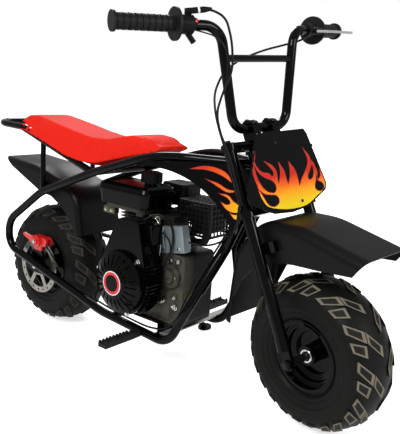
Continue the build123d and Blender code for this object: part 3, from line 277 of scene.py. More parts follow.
# Painted shade: the block's alloy, and its ribs, darken to near black from y -66 to -30 towards the bike's
# left, standing in for the shade on the block's far side.
block_alloy_painted_shade = fade_to_painted_shade(block_alloy_painted_shade, (0.006, 0.0058, 0.005), bike(0, -66, 0), bike(0, -30, 0))
head_cast = material("head casting", (0.012, 0.0115, 0.01), 0.45, metal=0.4, vary=0.3, bump=0.0003,
                     grain=400, shine=0.2)
zinc = material("zinc plate", (0.42, 0.5, 0.54), 0.32, metal=0.75, vary=0.1, grain=150)
bright_zinc = material("bright zinc", (0.66, 0.66, 0.64), 0.24, metal=1.0, vary=0.1, grain=300)
polished = material("polished alloy", (0.78, 0.78, 0.76), 0.16, metal=1.0, vary=0.05, grain=300)
ground_steel = dusted(material("ground steel", (0.34, 0.325, 0.29), 0.36, metal=0.9, vary=0.18, grain=300),
                      (0.08, 0.07, 0.05), 0.7, 45)
olive_steel = material("olive steel", (0.1, 0.09, 0.045), 0.4, metal=0.6, vary=0.2, grain=200)
dark_steel = dusted(material("dark steel", (0.008, 0.008, 0.008), 0.5, metal=0.1, bump=0.0002, grain=700,
                             shine=0.2), (0.04, 0.03, 0.02), 0.4, 60)
wire_black = material("black wire", (0.003, 0.003, 0.003), 0.42, shine=0.15)
cable_black = material("cable black", (0.003, 0.003, 0.003), 0.35, bump=0.0001, grain=900, shine=0.2)
bolt_black = material("black bolts", (0.01, 0.01, 0.01), 0.3, metal=0.3, shine=0.25)
white_ink = material("white ink", (0.8, 0.8, 0.8), 0.3, vary=0.02)
red_ink = material("red ink", (0.6, 0.008, 0.02), 0.3, vary=0.05)
pale_steel = dusted(material("bare plate", (0.42, 0.42, 0.4), 0.4, metal=0.6, vary=0.15, grain=160),
                    (0.15, 0.14, 0.12), 0.6, 50)

FINISH = {
    black_paint: ["frame_loop_left", "frame_loop_right", "head_tube", "seat_rail", "handlebar", "side_stand",
                  "engine_plate", "axle_plates", "fork_legs", "lower_clamp", "upper_clamp", "front_rim",
                  "rear_rim"],
    fender_plastic: ["front_fender", "rear_fender"],
    black_plastic: ["air_cleaner", "fuel_cap", "throttle_housing", "clutch_cover"],
    gloss_black: ["side_panels", "blower_housing", "recoil_cover", "fuel_tank"],
    plate_black: ["number_plate"],
    rubber: ["front_tyre", "rear_tyre"],
    grip_rubber: ["grip_left", "grip_right"],
    seat_vinyl: ["seat"],
    red_paint: ["brake_caliper"],
    block_alloy_painted_shade: ["engine_block"],
    zinc: ["cylinder_shield"],
    bright_zinc: ["rear_axle", "clutch"],
    cast_alloy: ["carburettor"],
    bolt_black: ["front_axle"],
    polished: ["brake_lever"],
    ground_steel: ["brake_rotor", "rear_sprocket", "chain"],
    dark_steel: ["muffler", "footpegs", "lever_perch"],
    wire_black: ["muffler_guard"],
    cable_black: ["fork_cables", "frame_cables"],
}
for finish, names in FINISH.items():
    for name in names:
        node = nodes[name]
        node.data.materials.clear()
        node.data.materials.append(finish)


# Pieces

def add_piece(name, bm, finishes, body, place, smooth=40):
    """A bmesh drawn in millimetres becomes a piece of the bike on one of its bodies."""
    bmesh.ops.recalc_face_normals(bm, faces=bm.faces)
    bmesh.ops.transform(bm, matrix=place, verts=bm.verts)
    mesh = bpy.data.meshes.new(name)
    bm.to_mesh(mesh)
    bm.free()
    for finish in finishes:
        mesh.materials.append(finish)
    mesh.shade_smooth()
    mesh.set_sharp_from_angle(angle=math.radians(smooth))
    piece = bpy.data.objects.new(name, mesh)
    bpy.context.collection.objects.link(piece)
    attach(piece, body)
    return piece


def across(at, way):
    """A placement whose Z runs along way."""
    return Matrix.Translation(at) @ Vector(way).to_track_quat("Z", "Y").to_matrix().to_4x4()


def ease(bm, edges, width):
    """Edges eased by a small bevel."""
    bmesh.ops.bevel(bm, geom=list(edges), offset=width, offset_type="OFFSET", segments=2, profile=0.5,
                    affect="EDGES", material=-1)


def add_disc(bm, at, way, radius, depth, sides=24, bevel=0.0, top=None):
    """A short round bar that stands on a point, with its far edge bevelled."""
    made = bmesh.ops.create_cone(bm, cap_ends=True, segments=sides, radius1=radius,
                                 radius2=radius if top is None else top, depth=depth,
                                 matrix=across(at, way) @ Matrix.Translation((0, 0, depth / 2)))
    faces = {f for v in made["verts"] for f in v.link_faces}
    if bevel > 0:
        end = Vector(at) + Vector(way).normalized() * depth
        rim = [e for f in faces if len(f.verts) == sides for e in f.edges
               if abs((e.verts[0].co - end).dot(Vector(way).normalized())) < 0.01]
        ease(bm, set(rim), bevel)


def add_box(bm, low, high):
    """A sharp box between two corners."""
    box = bmesh.ops.create_cube(bm, size=1)["verts"]
    bmesh.ops.scale(bm, vec=[b - a for a, b in zip(low, high)], verts=box)
    bmesh.ops.translate(bm, vec=[(a + b) / 2 for a, b in zip(low, high)], verts=box)
    return box


def add_block(bm, low, high, bevel=1.0):
    """A box between two corners, its edges eased."""
    ease(bm, {edge for vert in add_box(bm, low, high) for edge in vert.link_edges}, bevel)


def add_bolt(bm, at, way, size=5.0):
    """A washer with a chamfered hexagon head on it."""
    add_disc(bm, at, way, size * 1.25, size * 0.25, sides=20, bevel=size * 0.06)
    on_top = Vector(at) + Vector(way).normalized() * size * 0.2
    add_disc(bm, on_top, way, size, size * 0.8, sides=6, bevel=size * 0.12)


def add_screw(bm, at, way, size=4.0):
    """A low round screw head."""
    add_disc(bm, at, way, size, size * 0.5, sides=16, bevel=size * 0.2)


def add_lathe(bm, section, at, way, steps=64):
    """A surface of revolution: section is a list of (radius, height) along way from at.

    A section that ends on its first point is closed.
    """
    place = across(at, way)
    closed = section[0] == section[-1]
    verts = [bm.verts.new(place @ Vector((r, 0, h))) for r, h in (section[:-1] if closed else section)]
    pairs = list(zip(verts, verts[1:]))
    if closed:
        pairs.append((verts[-1], verts[0]))
    edges = [bm.edges.new(pair) for pair in pairs]
    axis = place.to_3x3() @ Vector((0, 0, 1))
    bmesh.ops.spin(bm, geom=verts + edges, cent=Vector(at), axis=axis, dvec=(0, 0, 0), angle=math.tau,
                   steps=steps, use_merge=True, use_duplicate=False)


RING_SIDES = 8


def add_ring(bm, at, way, radius, thick, steps=32):
    """A ring of round wire."""
    turns = [math.tau * k / RING_SIDES for k in range(RING_SIDES)]
    section = [(radius + thick * math.cos(a), thick * math.sin(a)) for a in turns]
    add_lathe(bm, section + section[:1], at, way, steps)


def tube_mesh(points, radius, place, sides=6):
    """A smooth round wire through points, as a mesh in its place."""
    curve = bpy.data.curves.new("wire", "CURVE")
    curve.dimensions = "3D"
    curve.bevel_depth = radius
    curve.bevel_resolution = sides // 2
    curve.use_fill_caps = True
    curve.resolution_u = 8
    line = curve.splines.new("NURBS")
    line.points.add(len(points) - 1)
    for spot, point in zip(line.points, points):
        spot.co = (*point, 1)
    line.order_u = 3
    line.use_endpoint_u = True
    holder = bpy.data.objects.new("wire", curve)
    mesh = bpy.data.meshes.new_from_object(holder)
    bpy.data.objects.remove(holder)
    mesh.transform(place)
    return mesh


def add_wire(name, points, radius, body, finish, place=UPRIGHT):
    """A wire or cable as a piece of its own."""
    mesh = tube_mesh(points, radius, place)
    mesh.materials.clear()
    mesh.materials.append(finish)
    mesh.shade_smooth()
    piece = bpy.data.objects.new(name, mesh)
    bpy.context.collection.objects.link(piece)
    if body:
        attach(piece, body)
    return piece


# Tyres: a smooth carcass with bead rings, and lugs with worn edges, paler on the front tyre

CROWN_R = 105
LUG_H = 12
LUG_STEPS = 12
# How far a lug's dark middle lies in from its corners, as a share of the way to the centre
LUG_BORDER = 0.33
# The tread falls away over the shoulder: from here outwards, over this width, by this much
SHOULDER_FROM = 30
SHOULDER_W = 34
SHOULDER_DROP = 7
# Half of the carcass: distance from the middle and radius, from the crown to the bead
CARCASS = [
    (0, 174.5), (16, 173.2), (32, 168.6), (46, 161.6), (56, 153.5), (62.5, 144), (65.3, 134), (65.6, 126),
    (64.2, 117), (64.6, 114.6), (63.4, 113.4), (62.2, 110), (59.6, 103), (59.9, 100.6), (58.2, 99.6),
    (56, 94), (56.4, 91), (54, 89), (51, 86), (48.7, 85),
]
BEAD_DEEP = 8
# Each lug's outline: along the rolling way and across, from the tread's middle line
LUGS = [
    [(-12, 61), (12, 64), (50, 38), (25, 35)],
    [(26, 33.5), (51, 36.5), (88, 8), (66, 4)],
    [(34, 64), (60, 64), (80, 44), (54, 41)],
]


def tread_point(turn, along, y, lift=0.0):
    """A point on the lugs' tops, at a turn about the axle."""
    lean = math.asin(y / CROWN_R)
    drop = SHOULDER_DROP * (max(abs(y) - SHOULDER_FROM, 0) / SHOULDER_W) ** 2
    r = TYRE_R - CROWN_R + CROWN_R * math.cos(lean) - drop + lift
    angle = turn + along / TYRE_R
    return Vector((r * math.sin(angle), y, r * math.cos(angle)))


def add_lug(bm, turn, outline):
    """A block on the tread, its top's border in the worn finish."""
    tops = [tread_point(turn, a, y) for a, y in outline]
    centre = sum(tops, Vector()) / len(tops)
    top = [bm.verts.new(v) for v in tops]
    inner = [bm.verts.new(v.lerp(centre, LUG_BORDER)) for v in tops]
    low = [bm.verts.new(tread_point(turn, a, y, -LUG_H)) for a, y in outline]
    bm.faces.new(inner).material_index = 2
    bm.faces.new(reversed(low))
    for k in range(len(top)):
        n = (k + 1) % len(top)
        bm.faces.new((top[k], top[n], inner[n], inner[k])).material_index = 1
        bm.faces.new((low[k], low[n], top[n], top[k]))


def add_tyre(name, node, body, place, edge):
    """A tyre about its axle, in place of the one from the CAD."""
    bm = bmesh.new()
    half = [(r, y) for y, r in CARCASS]
    bead_r, bead_y = half[-1]
    inner_r = bead_r - BEAD_DEEP
    section = [(inner_r, -bead_y)] + [(r, -y) for r, y in reversed(half)] + half[1:] + [(inner_r, bead_y)]
    section.append(section[0])
    add_lathe(bm, section, (0, 0, 0), (0, 1, 0), steps=96)
    turn = math.tau / LUG_STEPS
    for step in range(LUG_STEPS):
        for outline in LUGS:
            add_lug(bm, turn * step, outline)
            add_lug(bm, turn * (step + 0.5), [(a, -y) for a, y in reversed(outline)])
    piece = add_piece(name, bm, [rubber, edge, lug_top], body, place, smooth=32)
    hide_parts(node)


add_tyre("rear_tyre_rubber", "rear_tyre", "rear_wheel", UPRIGHT, lug_dull)
add_tyre("front_tyre_rubber", "front_tyre", "front_wheel", FRONT_AXLE, lug_edge)

# Wheel dressing: the rings pressed into the rims, hub collars and a valve

# The rings on a rim's side: radius and distance from the middle
RIM_RINGS = [(68.5, 32.5), (57, 17.5), (49, 10.5)]
# A collar's section: radius and height
COLLAR = [(15.5, 1.4), (15.5, 2.6), (14.6, 3.6), (11.6, 3.6), (10.8, 2.6), (10.8, 1.4), (15.5, 1.4)]


def add_wheel_trim(name, body, place):
    """Rolled rings, the hub's bright collar and the valve stem."""
    bm = bmesh.new()
    for side in (-1, 1):
        way = (0, side, 0)
        for radius, depth in RIM_RINGS:
            add_ring(bm, (0, side * depth, 0), way, radius, 1.1, steps=72)
        add_ring(bm, (0, side * 52.2, 0), way, 81.5, 1.2, steps=96)
    add_disc(bm, (50, -20, 36), (0.2, -1, 0.1), 3.2, 20, sides=12, bevel=0.8)
    add_piece(name + "_rings", bm, [black_paint], body, place)
    bm = bmesh.new()
    for side in (-1, 1):
        add_lathe(bm, COLLAR, (0, side * 40.5, 0), (0, side, 0), steps=48)
    add_piece(name + "_collars", bm, [bright_zinc], body, place)


add_wheel_trim("front_hub", "front_wheel", FRONT_AXLE)
add_wheel_trim("rear_hub", "rear_wheel", UPRIGHT)

# Seat: the cushion is the solid a little smaller, puffed up by its own pressure

SEAT_VOXEL = 0.005
SEAT_PUFF_CAP = 0.005
SEAT_PUFF_STEPS = 20
SEAT_WELD = 1e-5
SEAT_SHRINK = 0.0025
# Places along the seat: x, lower edge, top of the rails under it, top, and half widths there
SEAT_FORM = [
    (-110, 404, 418.5, 420, 88, 86, 76),
    (-84, 401, 418, 434, 95, 93, 64),
    (-72, 400, 418, 440, 112, 104, 62),
    (60, 364, 389, 424, 119, 104, 62),
    (140, 340, 367, 410, 119, 104, 64),
    (205, 330, 349, 401, 118, 106, 66),
    (262, 334, 345, 404, 113, 104, 66),
    (340, 358, 366, 421, 103, 96, 58),
    (405, 380, 386, 423, 91, 84, 50),
    (452, 398, 400, 409, 71, 64, 46),
]
# The tail is cut off square here, and its top falls towards the cut
SEAT_TAIL_X = -108
TAIL_FALL_X = -72
TAIL_TOP_Z = 438
TAIL_FALL = 0.4


def seat_half(x, z):
    """How far the cushion may reach to each side at a place: its flanks lean in to the top."""
    low, rail, top, wide, middle, narrow = between(SEAT_FORM, x)
    if z < rail:
        return wide + (middle - wide) * max(z - low, 0) / (rail - low)
    return middle + (narrow - middle) * min((z - rail) / (top - rail), 1)


def remeshed(obj):
    """The object's mesh made even by voxels."""
    bpy.context.view_layer.objects.active = obj
    even = obj.modifiers.new("even", "REMESH")
    even.mode = "VOXEL"
    even.voxel_size = SEAT_VOXEL
    bpy.ops.object.modifier_apply(modifier="even")


def shrunk_seat():
    """The CAD's seat as a piece of its own, a little smaller all round."""
    mesh = nodes["seat"].data.copy()
    bm = bmesh.new()
    bm.from_mesh(mesh)
    bmesh.ops.remove_doubles(bm, verts=bm.verts, dist=SEAT_WELD)
    bmesh.ops.recalc_face_normals(bm, faces=bm.faces)
    bm.normal_update()
    for vert in bm.verts:
        vert.co -= vert.normal * SEAT_SHRINK
    bm.to_mesh(mesh)
    bm.free()
    cushion = bpy.data.objects.new("seat_cushion", mesh)
    bpy.context.collection.objects.link(cushion)
    mesh.materials.clear()
    mesh.materials.append(seat_vinyl)
    return cushion


def trim(cushion):
    """The tail cut off square, and the flanks and the tail's top held to the seat's form."""
    bm = bmesh.new()
    bm.from_mesh(cushion.data)
    bmesh.ops.transform(bm, matrix=UPRIGHT.inverted(), verts=bm.verts)
    bmesh.ops.bisect_plane(bm, geom=bm.verts[:] + bm.edges[:] + bm.faces[:], plane_co=(SEAT_TAIL_X, 0, 0),
                           plane_no=(-1, 0, 0), clear_outer=True)
    bmesh.ops.holes_fill(bm, edges=bm.edges, sides=0)
    for vert in bm.verts:
        spot = vert.co
        half = seat_half(spot.x, spot.z) - SEAT_SHRINK / MM
        if abs(spot.y) > half:
            spot.y = math.copysign(half, spot.y)
        if spot.x < TAIL_FALL_X:
            spot.z = min(spot.z, TAIL_TOP_Z + (spot.x - TAIL_FALL_X) * TAIL_FALL)
    bmesh.ops.transform(bm, matrix=UPRIGHT, verts=bm.verts)
    bm.to_mesh(cushion.data)
    bm.free()


def puff_up(cushion):
    """The cover swells by the foam's pressure, no further than the cap."""
    start = [v.co.copy() for v in cushion.data.vertices]
    puff = cushion.modifiers.new("puff", "CLOTH")
    puff.settings.use_pressure = True
    puff.settings.uniform_pressure_force = 4
    puff.settings.effector_weights.gravity = 0
    puff.settings.quality = 5
    scene = bpy.context.scene
    for step in range(1, SEAT_PUFF_STEPS + 1):
        scene.frame_set(step)
    view = cushion.evaluated_get(bpy.context.evaluated_depsgraph_get())
    moved = [v.co.copy() for v in view.data.vertices]
    cushion.modifiers.remove(puff)
    scene.frame_set(1)
    for vert, before, after in zip(cushion.data.vertices, start, moved):
        way = after - before
        if way.length > SEAT_PUFF_CAP:
            way *= SEAT_PUFF_CAP / way.length
        vert.co = before + way


def seat_cushion():
    """The moulded seat as a soft upholstered cushion."""
    cushion = shrunk_seat()
    remeshed(cushion)
    trim(cushion)
    remeshed(cushion)
    puff_up(cushion)
    smooth = cushion.modifiers.new("smooth", "SUBSURF")
    smooth.levels = smooth.render_levels = 1
    bpy.ops.object.modifier_apply(modifier="smooth")
    cushion.data.shade_smooth()
    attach(cushion, "frame")
    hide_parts("seat")


seat_cushion()

# Flames: flat outlines laid on the number plate and the side panels. A point with a 1 after
# its place is sharp, the others are round.

RED = (0.55, 0.02, 0.008)
ORANGE = (0.85, 0.14, 0.01)
YELLOW = (0.86, 0.62, 0.01)


def flame_mesh(outlines, grow):
    """Closed outlines in millimetres, each filled, grown outwards a little."""
    curve = bpy.data.curves.new("flames", "CURVE")
    curve.dimensions = "2D"
    curve.fill_mode = "BOTH"
    curve.resolution_u = 6
    for outline in outlines:
        line = curve.splines.new("BEZIER")
        line.use_cyclic_u = True
        line.bezier_points.add(len(outline) - 1)
        for spot, (x, y, *tip) in zip(line.bezier_points, outline):
            spot.co = (x, y, 0)
            kind = "VECTOR" if tip else "AUTO"
            spot.handle_left_type = spot.handle_right_type = kind
    curve.offset = grow
    holder = bpy.data.objects.new("flames", curve)
    bpy.context.collection.objects.link(holder)
    bpy.context.view_layer.update()
    view = holder.evaluated_get(bpy.context.evaluated_depsgraph_get())
    mesh = bpy.data.meshes.new_from_object(view)
    bpy.data.objects.remove(holder)
    return mesh


def add_flames(name, outlines, grow, lift, spread, finish, body, place):
    """Flat shapes spread over a surface by spread(x, y, lift), as a thin printed film."""
    bm = bmesh.new()
    bm.from_mesh(flame_mesh(outlines, grow))
    bmesh.ops.remove_doubles(bm, verts=bm.verts, dist=0.01)
    for cut in spread.cuts:
        bmesh.ops.bisect_plane(bm, geom=bm.verts[:] + bm.edges[:] + bm.faces[:], dist=0.001,
                               plane_co=(cut, 0, 0), plane_no=(1, 0, 0))
    film = bmesh.ops.extrude_face_region(bm, geom=bm.faces[:])["geom"]
    top = {v for v in film if isinstance(v, bmesh.types.BMVert)}
    for vert in bm.verts:
        vert.co = spread(vert.co.x, vert.co.y, lift + (0.12 if vert in top else 0.0))
    return add_piece(name, bm, [finish], body, place, smooth=30)


class PlateSpread:
    """The number plate's front: x to the rider's left, y up from its top edge's line."""
    cuts = []
    tilt = math.radians(14)
    out = Vector((math.cos(tilt), 0, math.sin(tilt)))
    up = Vector((-math.sin(tilt), 0, math.cos(tilt)))
    origin = BAR_CENTRE + Vector((60, 0, -2)) + out * 3

    def __call__(self, x, y, lift):
        return self.origin + Vector((0, 1, 0)) * x + self.up * y + self.out * lift


class PanelSpread:
    """A side panel's outer face seen from the side: x from the front axle, y up."""
    BEND_X = -207
    REAR = Vector((-424, -120.6, 0))
    FRONT = Vector((-207, -39, 0))

    def __init__(self, side):
        self.side = side
        self.cuts = [self.BEND_X]

    def __call__(self, x, y, lift):
        if x < self.BEND_X:
            run = (self.FRONT - self.REAR).normalized()
            share = (x - self.REAR.x) / (self.FRONT.x - self.REAR.x)
            spot = self.REAR.lerp(self.FRONT, share)
            out = Vector((run.y, -run.x, 0))
        else:
            spot = Vector((x, self.FRONT.y, 0))
            out = Vector((0, -1, 0))
        spot = spot + out * lift
        return Vector((WHEELBASE + spot.x, spot.y * self.side, y))


# The plate's flames, given on an enlarged crop of the photograph: the crop's corner in
# the photograph's pixels, its enlargement, and outlines in the enlarged crop's pixels
CROP_CORNER = (240, 110)
CROP_SCALE = 8
PLATE_FLAMES_PX = [
    [(80, 352, 1), (103, 415), (135, 462), (175, 500), (228, 513), (262, 535), (272, 505), (252, 470),
     (210, 425, 1), (262, 455), (290, 500), (300, 560), (306, 600, 1), (318, 560), (326, 500),
     (312, 430, 1), (350, 490), (370, 550), (385, 600, 1), (398, 560), (404, 500), (392, 420, 1),
     (436, 480), (458, 540), (476, 610, 1), (498, 545), (524, 490), (538, 440), (540, 390),
     (515, 325, 1), (556, 380), (566, 430), (556, 480), (542, 520), (548, 552), (570, 552), (586, 520),
     (584, 470), (566, 400, 1), (600, 450), (618, 500), (618, 540), (628, 552, 1), (642, 530),
     (640, 480, 1), (664, 530), (684, 575), (690, 610), (688, 645), (672, 675), (640, 700), (590, 735),
     (520, 765), (450, 785), (380, 793), (300, 790), (250, 782), (212, 765), (190, 735), (165, 690),
     (150, 640, 1), (140, 600), (122, 560), (106, 500), (90, 440)],
]
PLATE_DROPS_PX = [
    [(112, 440, 1), (150, 505), (205, 545), (255, 565), (285, 610), (282, 650), (245, 660), (205, 640),
     (165, 590), (130, 520)],
    [(160, 645, 1), (195, 672), (245, 680), (295, 690), (312, 730), (296, 762), (262, 770), (228, 752),
     (195, 705)],
    [(606, 505, 1), (622, 560), (655, 580), (669, 613), (656, 638), (632, 642), (606, 625), (600, 595),
     (608, 560)],
]
# The plate's outline in its own millimetres: height with half width, and distance from the
# middle with the lower edge's height
PLATE_HALF = [(-178, 56), (-148, 128), (-132, 133), (-12, 86)]
PLATE_LOW = [(0, -183), (56, -178), (128, -148)]
PLATE_MARGIN = 5
plate_spread = PlateSpread()


def on_plate(px, py, *sharp):
    """The whole millimetres on the plate behind a point of the crop, kept inside its margin."""
    across_px = CROP_CORNER[0] + px / CROP_SCALE - CENTRE_PX[0]
    down_px = CROP_CORNER[1] + py / CROP_SCALE - CENTRE_PX[1]
    ray = look + (aside * across_px - above * down_px) / FOCAL_PX
    to_fork = STEERED.inverted()
    eye = to_fork @ bike(*CAMERA_AT)
    ahead = to_fork @ (bike(*CAMERA_AT) + ray)
    spot = intersect_line_plane(eye, ahead, plate_spread.origin, plate_spread.out) - plate_spread.origin
    y = spot.dot(plate_spread.up)
    reach = between(PLATE_HALF, y)[0] - PLATE_MARGIN
    x = min(max(spot.y, -reach), reach)
    y = max(y, between(PLATE_LOW, abs(x))[0] + PLATE_MARGIN)
    return (round(x), round(y), *sharp)


plate_flames = [[on_plate(*point) for point in outline] for outline in PLATE_FLAMES_PX]
plate_drops = [[on_plate(*point) for point in outline] for outline in PLATE_DROPS_PX]
flame_low = STEERED @ plate_spread(0, -178, 0)
flame_high = STEERED @ plate_spread(0, -60, 0)
PLATE_STOPS = [(0.0, YELLOW), (0.16, YELLOW), (0.38, (0.87, 0.38, 0.01)), (0.56, ORANGE), (0.74, RED)]
plate_colours = banded("plate flames", flame_low, flame_high, PLATE_STOPS, 0.3)
flame_red = material("flame red", (0.42, 0.02, 0.008), 0.32, coat=0.2)
# Films on the plate: name, outlines, growth, height over the plate and finish
PLATE_FILMS = [
    ("plate_flame_rims", plate_flames, 1.6, 0.05, flame_red),
    ("plate_flames", plate_flames, -0.2, 0.2, plate_colours),
    ("plate_flame_drop_rims", plate_drops, 1.5, 0.34, flame_red),
    ("plate_flame_drops", plate_drops, 0, 0.46, plate_black),
]
for name, outlines, grow, height, finish in PLATE_FILMS:
    add_flames(name, outlines, grow, height, plate_spread, finish, "fork", STEERED)

PANEL_FLAMES = [
    [(-292, 349, 1), (-268, 343), (-246, 332), (-226, 330, 1), (-244, 326), (-262, 333), (-276, 341)],
    [(-330, 372, 1), (-296, 373), (-262, 364), (-238, 350, 1), (-250, 368), (-276, 379), (-304, 380)],
    [(-262, 320, 1), (-244, 318), (-232, 306), (-214, 298), (-206, 300, 1), (-212, 286), (-228, 280),
     (-246, 286), (-258, 300, 1), (-246, 296), (-238, 300), (-242, 310)],
    [(-236, 276, 1), (-226, 274), (-214, 279), (-207, 286, 1), (-210, 272), (-222, 264)],
    [(-192, 349, 1), (-178, 338), (-168, 328, 1), (-178, 314), (-188, 300, 1), (-194, 318)],
]
PANEL_STOPS = [(0.0, (0.6, 0.03, 0.008)), (0.45, ORANGE), (0.75, (0.87, 0.4, 0.01)), (1.0, YELLOW)]
panel_red = banded("panel flames", bike(WHEELBASE - 300, 0, 360), bike(WHEELBASE - 180, 0, 290),
                   PANEL_STOPS, 0.3)
for side, name in ((1, "right"), (-1, "left")):
    spread = PanelSpread(side)
    add_flames(name + "_panel_flame_rims", PANEL_FLAMES, 1.0, 0.05, spread, flame_red, "frame", UPRIGHT)
    add_flames(name + "_panel_flames", PANEL_FLAMES, -0.2, 0.2, spread, panel_red, "frame", UPRIGHT)

# Recoil cover: a blank round badge, and the fan behind the slots
RECOIL_FACE = -180.6
bm = bmesh.new()
badge_at = CRANK + Vector((-2, RECOIL_FACE + 0.3, 0))
add_disc(bm, badge_at, (0, -1, 0), 30.5, 0.6, sides=64)
add_piece("badge_white_ring", bm, [white_ink], "frame", UPRIGHT)
bm = bmesh.new()
add_disc(bm, badge_at + Vector((0, -0.5, 0)), (0, -1, 0), 28.2, 0.4, sides=64)
add_piece("badge_red_ring", bm, [red_ink], "frame", UPRIGHT)
bm = bmesh.new()
add_disc(bm, badge_at + Vector((0, -0.8, 0)), (0, -1, 0), 21, 0.4, sides=64)
add_piece("badge_black_middle", bm, [gloss_black], "frame", UPRIGHT)
bm = bmesh.new()
add_disc(bm, CRANK + Vector((0, -152, 0)), (0, -1, 0), 73, 2, sides=48, top=72)
for k in range(24):
    a = math.tau * k / 24
    blade = add_box(bm, (-13, -4, -0.6), (13, 4, 0.6))
    bmesh.ops.rotate(bm, matrix=Matrix.Rotation(math.radians(25), 3, "X"), verts=blade)
    bmesh.ops.translate(bm, vec=(52, 0, 0), verts=blade)
    bmesh.ops.rotate(bm, matrix=Matrix.Rotation(a, 3, "Y"), verts=blade)
    bmesh.ops.translate(bm, vec=CRANK + Vector((0, -158, 0)), verts=blade)
add_piece("cooling_fan", bm, [olive_steel], "frame", UPRIGHT)

# Fastenings, by body
bm = bmesh.new()
for degrees in (48, 168, 288):
    a = math.radians(degrees)
    add_bolt(bm, CRANK + Vector((83 * math.cos(a), -150, 83 * math.sin(a))), (0, -1, 0), 5.5)
for x, z in ((70, -50), (112, -54), (118, 62), (-40, 62)):
    add_bolt(bm, CRANK + Vector((x, -76, z)), (0, -1, 0), 5)
for x, z in ((61, 132), (117, 94)):
    add_screw(bm, CRANK + Vector((x, -74, z)), (0, -1, 0), 4)
add_bolt(bm, (12, -104.5, 80), (0, -1, 0), 6)
add_piece("engine_bolts", bm, [bright_zinc], "frame", UPRIGHT)

bm = bmesh.new()
for x, y in ((-25.6, -24), (37.8, -161.6), (-96, -40), (96, -40)):
    add_screw(bm, plate_spread(x, y, 0.1), plate_spread.out, 3.6)
add_piece("plate_screws", bm, [bolt_black], "fork", STEERED)

BAR_CLAMP_Y = 32
bm = bmesh.new()
for y in (-BAR_CLAMP_Y, BAR_CLAMP_Y):
    for x in (-13, 13):
        add_bolt(bm, BAR_CENTRE + Vector((x, y, 14)), (0, 0, 1), 5)
for side in (-1, 1):
    add_bolt(bm, fork_point(20, side * 80.2, 250), (0, side, 0), 5)
    add_bolt(bm, fork_point(0, side * 102, HEAD_HIGH_W + 18), (-math.sin(RAKE), 0, math.cos(RAKE)), 7)
add_piece("fork_bolts", bm, [bolt_black], "fork", STEERED)

# The cables' free spans from the fork leg to the frame, eased from the steered fork to the frame
SPANS = {
    "throttle_cable_span": [(773.6, -119.5, 322), (768, -118, 296), (742, -104, 262), (706, -66, 236),
                            (682, -46, 228), (668, -40, 222)],
    "brake_cable_span": [(768, -119.5, 320), (760, -116, 290), (732, -98, 256), (698, -70, 236),
                         (674, -52, 228), (660, -47, 216)],
}


def span_points(points):
    """The first points are on the steered fork and the last on the frame, eased between."""
    placed = []
    for index, point in enumerate(points):
        share = index / (len(points) - 1)
        share = share * share * (3 - 2 * share)
        placed.append((STEERED @ Vector(point)).lerp(UPRIGHT @ Vector(point), share))
    return placed


for name, points in SPANS.items():
    placed = span_points(points)
    span = add_wire(name, [point / MM for point in placed], 2.4, None, cable_black,
                    Matrix.Scale(MM, 4))
    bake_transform(span)

# Ties round the cables, and the throttle lead's boot with its pale band
bm = bmesh.new()
for w in (448, 420, 372, 352):
    add_ring(bm, fork_point(4, -119, w), (-math.sin(RAKE), 0, math.cos(RAKE)), 4.4, 1.4, steps=16)
add_piece("cable_ties", bm, [black_plastic], "fork", STEERED)
bm = bmesh.new()
outlet = BAR_CENTRE + Vector((-28, -184, 248))
onward = BAR_CENTRE + Vector((-10, -152, 252))
lead = (onward - outlet).normalized()
add_disc(bm, outlet - lead * 16, lead, 6.5, 40, sides=20, bevel=1.2)
add_disc(bm, outlet + lead * 24, lead, 6.5, 16, sides=20, bevel=0.4, top=3.2)
add_piece("throttle_boot", bm, [black_plastic], "fork", STEERED)
bm = bmesh.new()
add_disc(bm, outlet + lead * 10, lead, 7.0, 4, sides=24)
add_piece("throttle_boot_band", bm, [white_ink], "fork", STEERED)

# Stop switch beside the throttle, with its own thin lead down to the ties
bm = bmesh.new()
switch_at = BAR_CENTRE + Vector((-38, -176, 221))
add_disc(bm, switch_at, (-0.1, -1, 0), 15.5, 16, sides=32, bevel=1.5)
add_disc(bm, switch_at + Vector((14, -8, 4)), (1, 0, 0.3), 7, 8, sides=20, bevel=1)
add_disc(bm, switch_at + Vector((-2, -8, 15)), (0, 0, 1), 6, 6, sides=20, bevel=1)
add_piece("stop_switch", bm, [black_plastic], "fork", STEERED)
bm = bmesh.new()
add_disc(bm, switch_at + Vector((21, -8, 6)), (1, 0, 0.3), 3.6, 3, sides=20, bevel=0.6)
add_piece("stop_button", bm, [red_paint], "fork", STEERED)
# The lead's points, from the handlebar's middle
SWITCH_LEAD = [(-30, -178, 210), (-20, -160, 206), (4, -140, 196), (14, -124, 170), (14, -122, 120),
               (10, -124, 90)]
add_wire("stop_switch_lead", [BAR_CENTRE + Vector(v) for v in SWITCH_LEAD], 1.6, "fork", cable_black,
         STEERED)

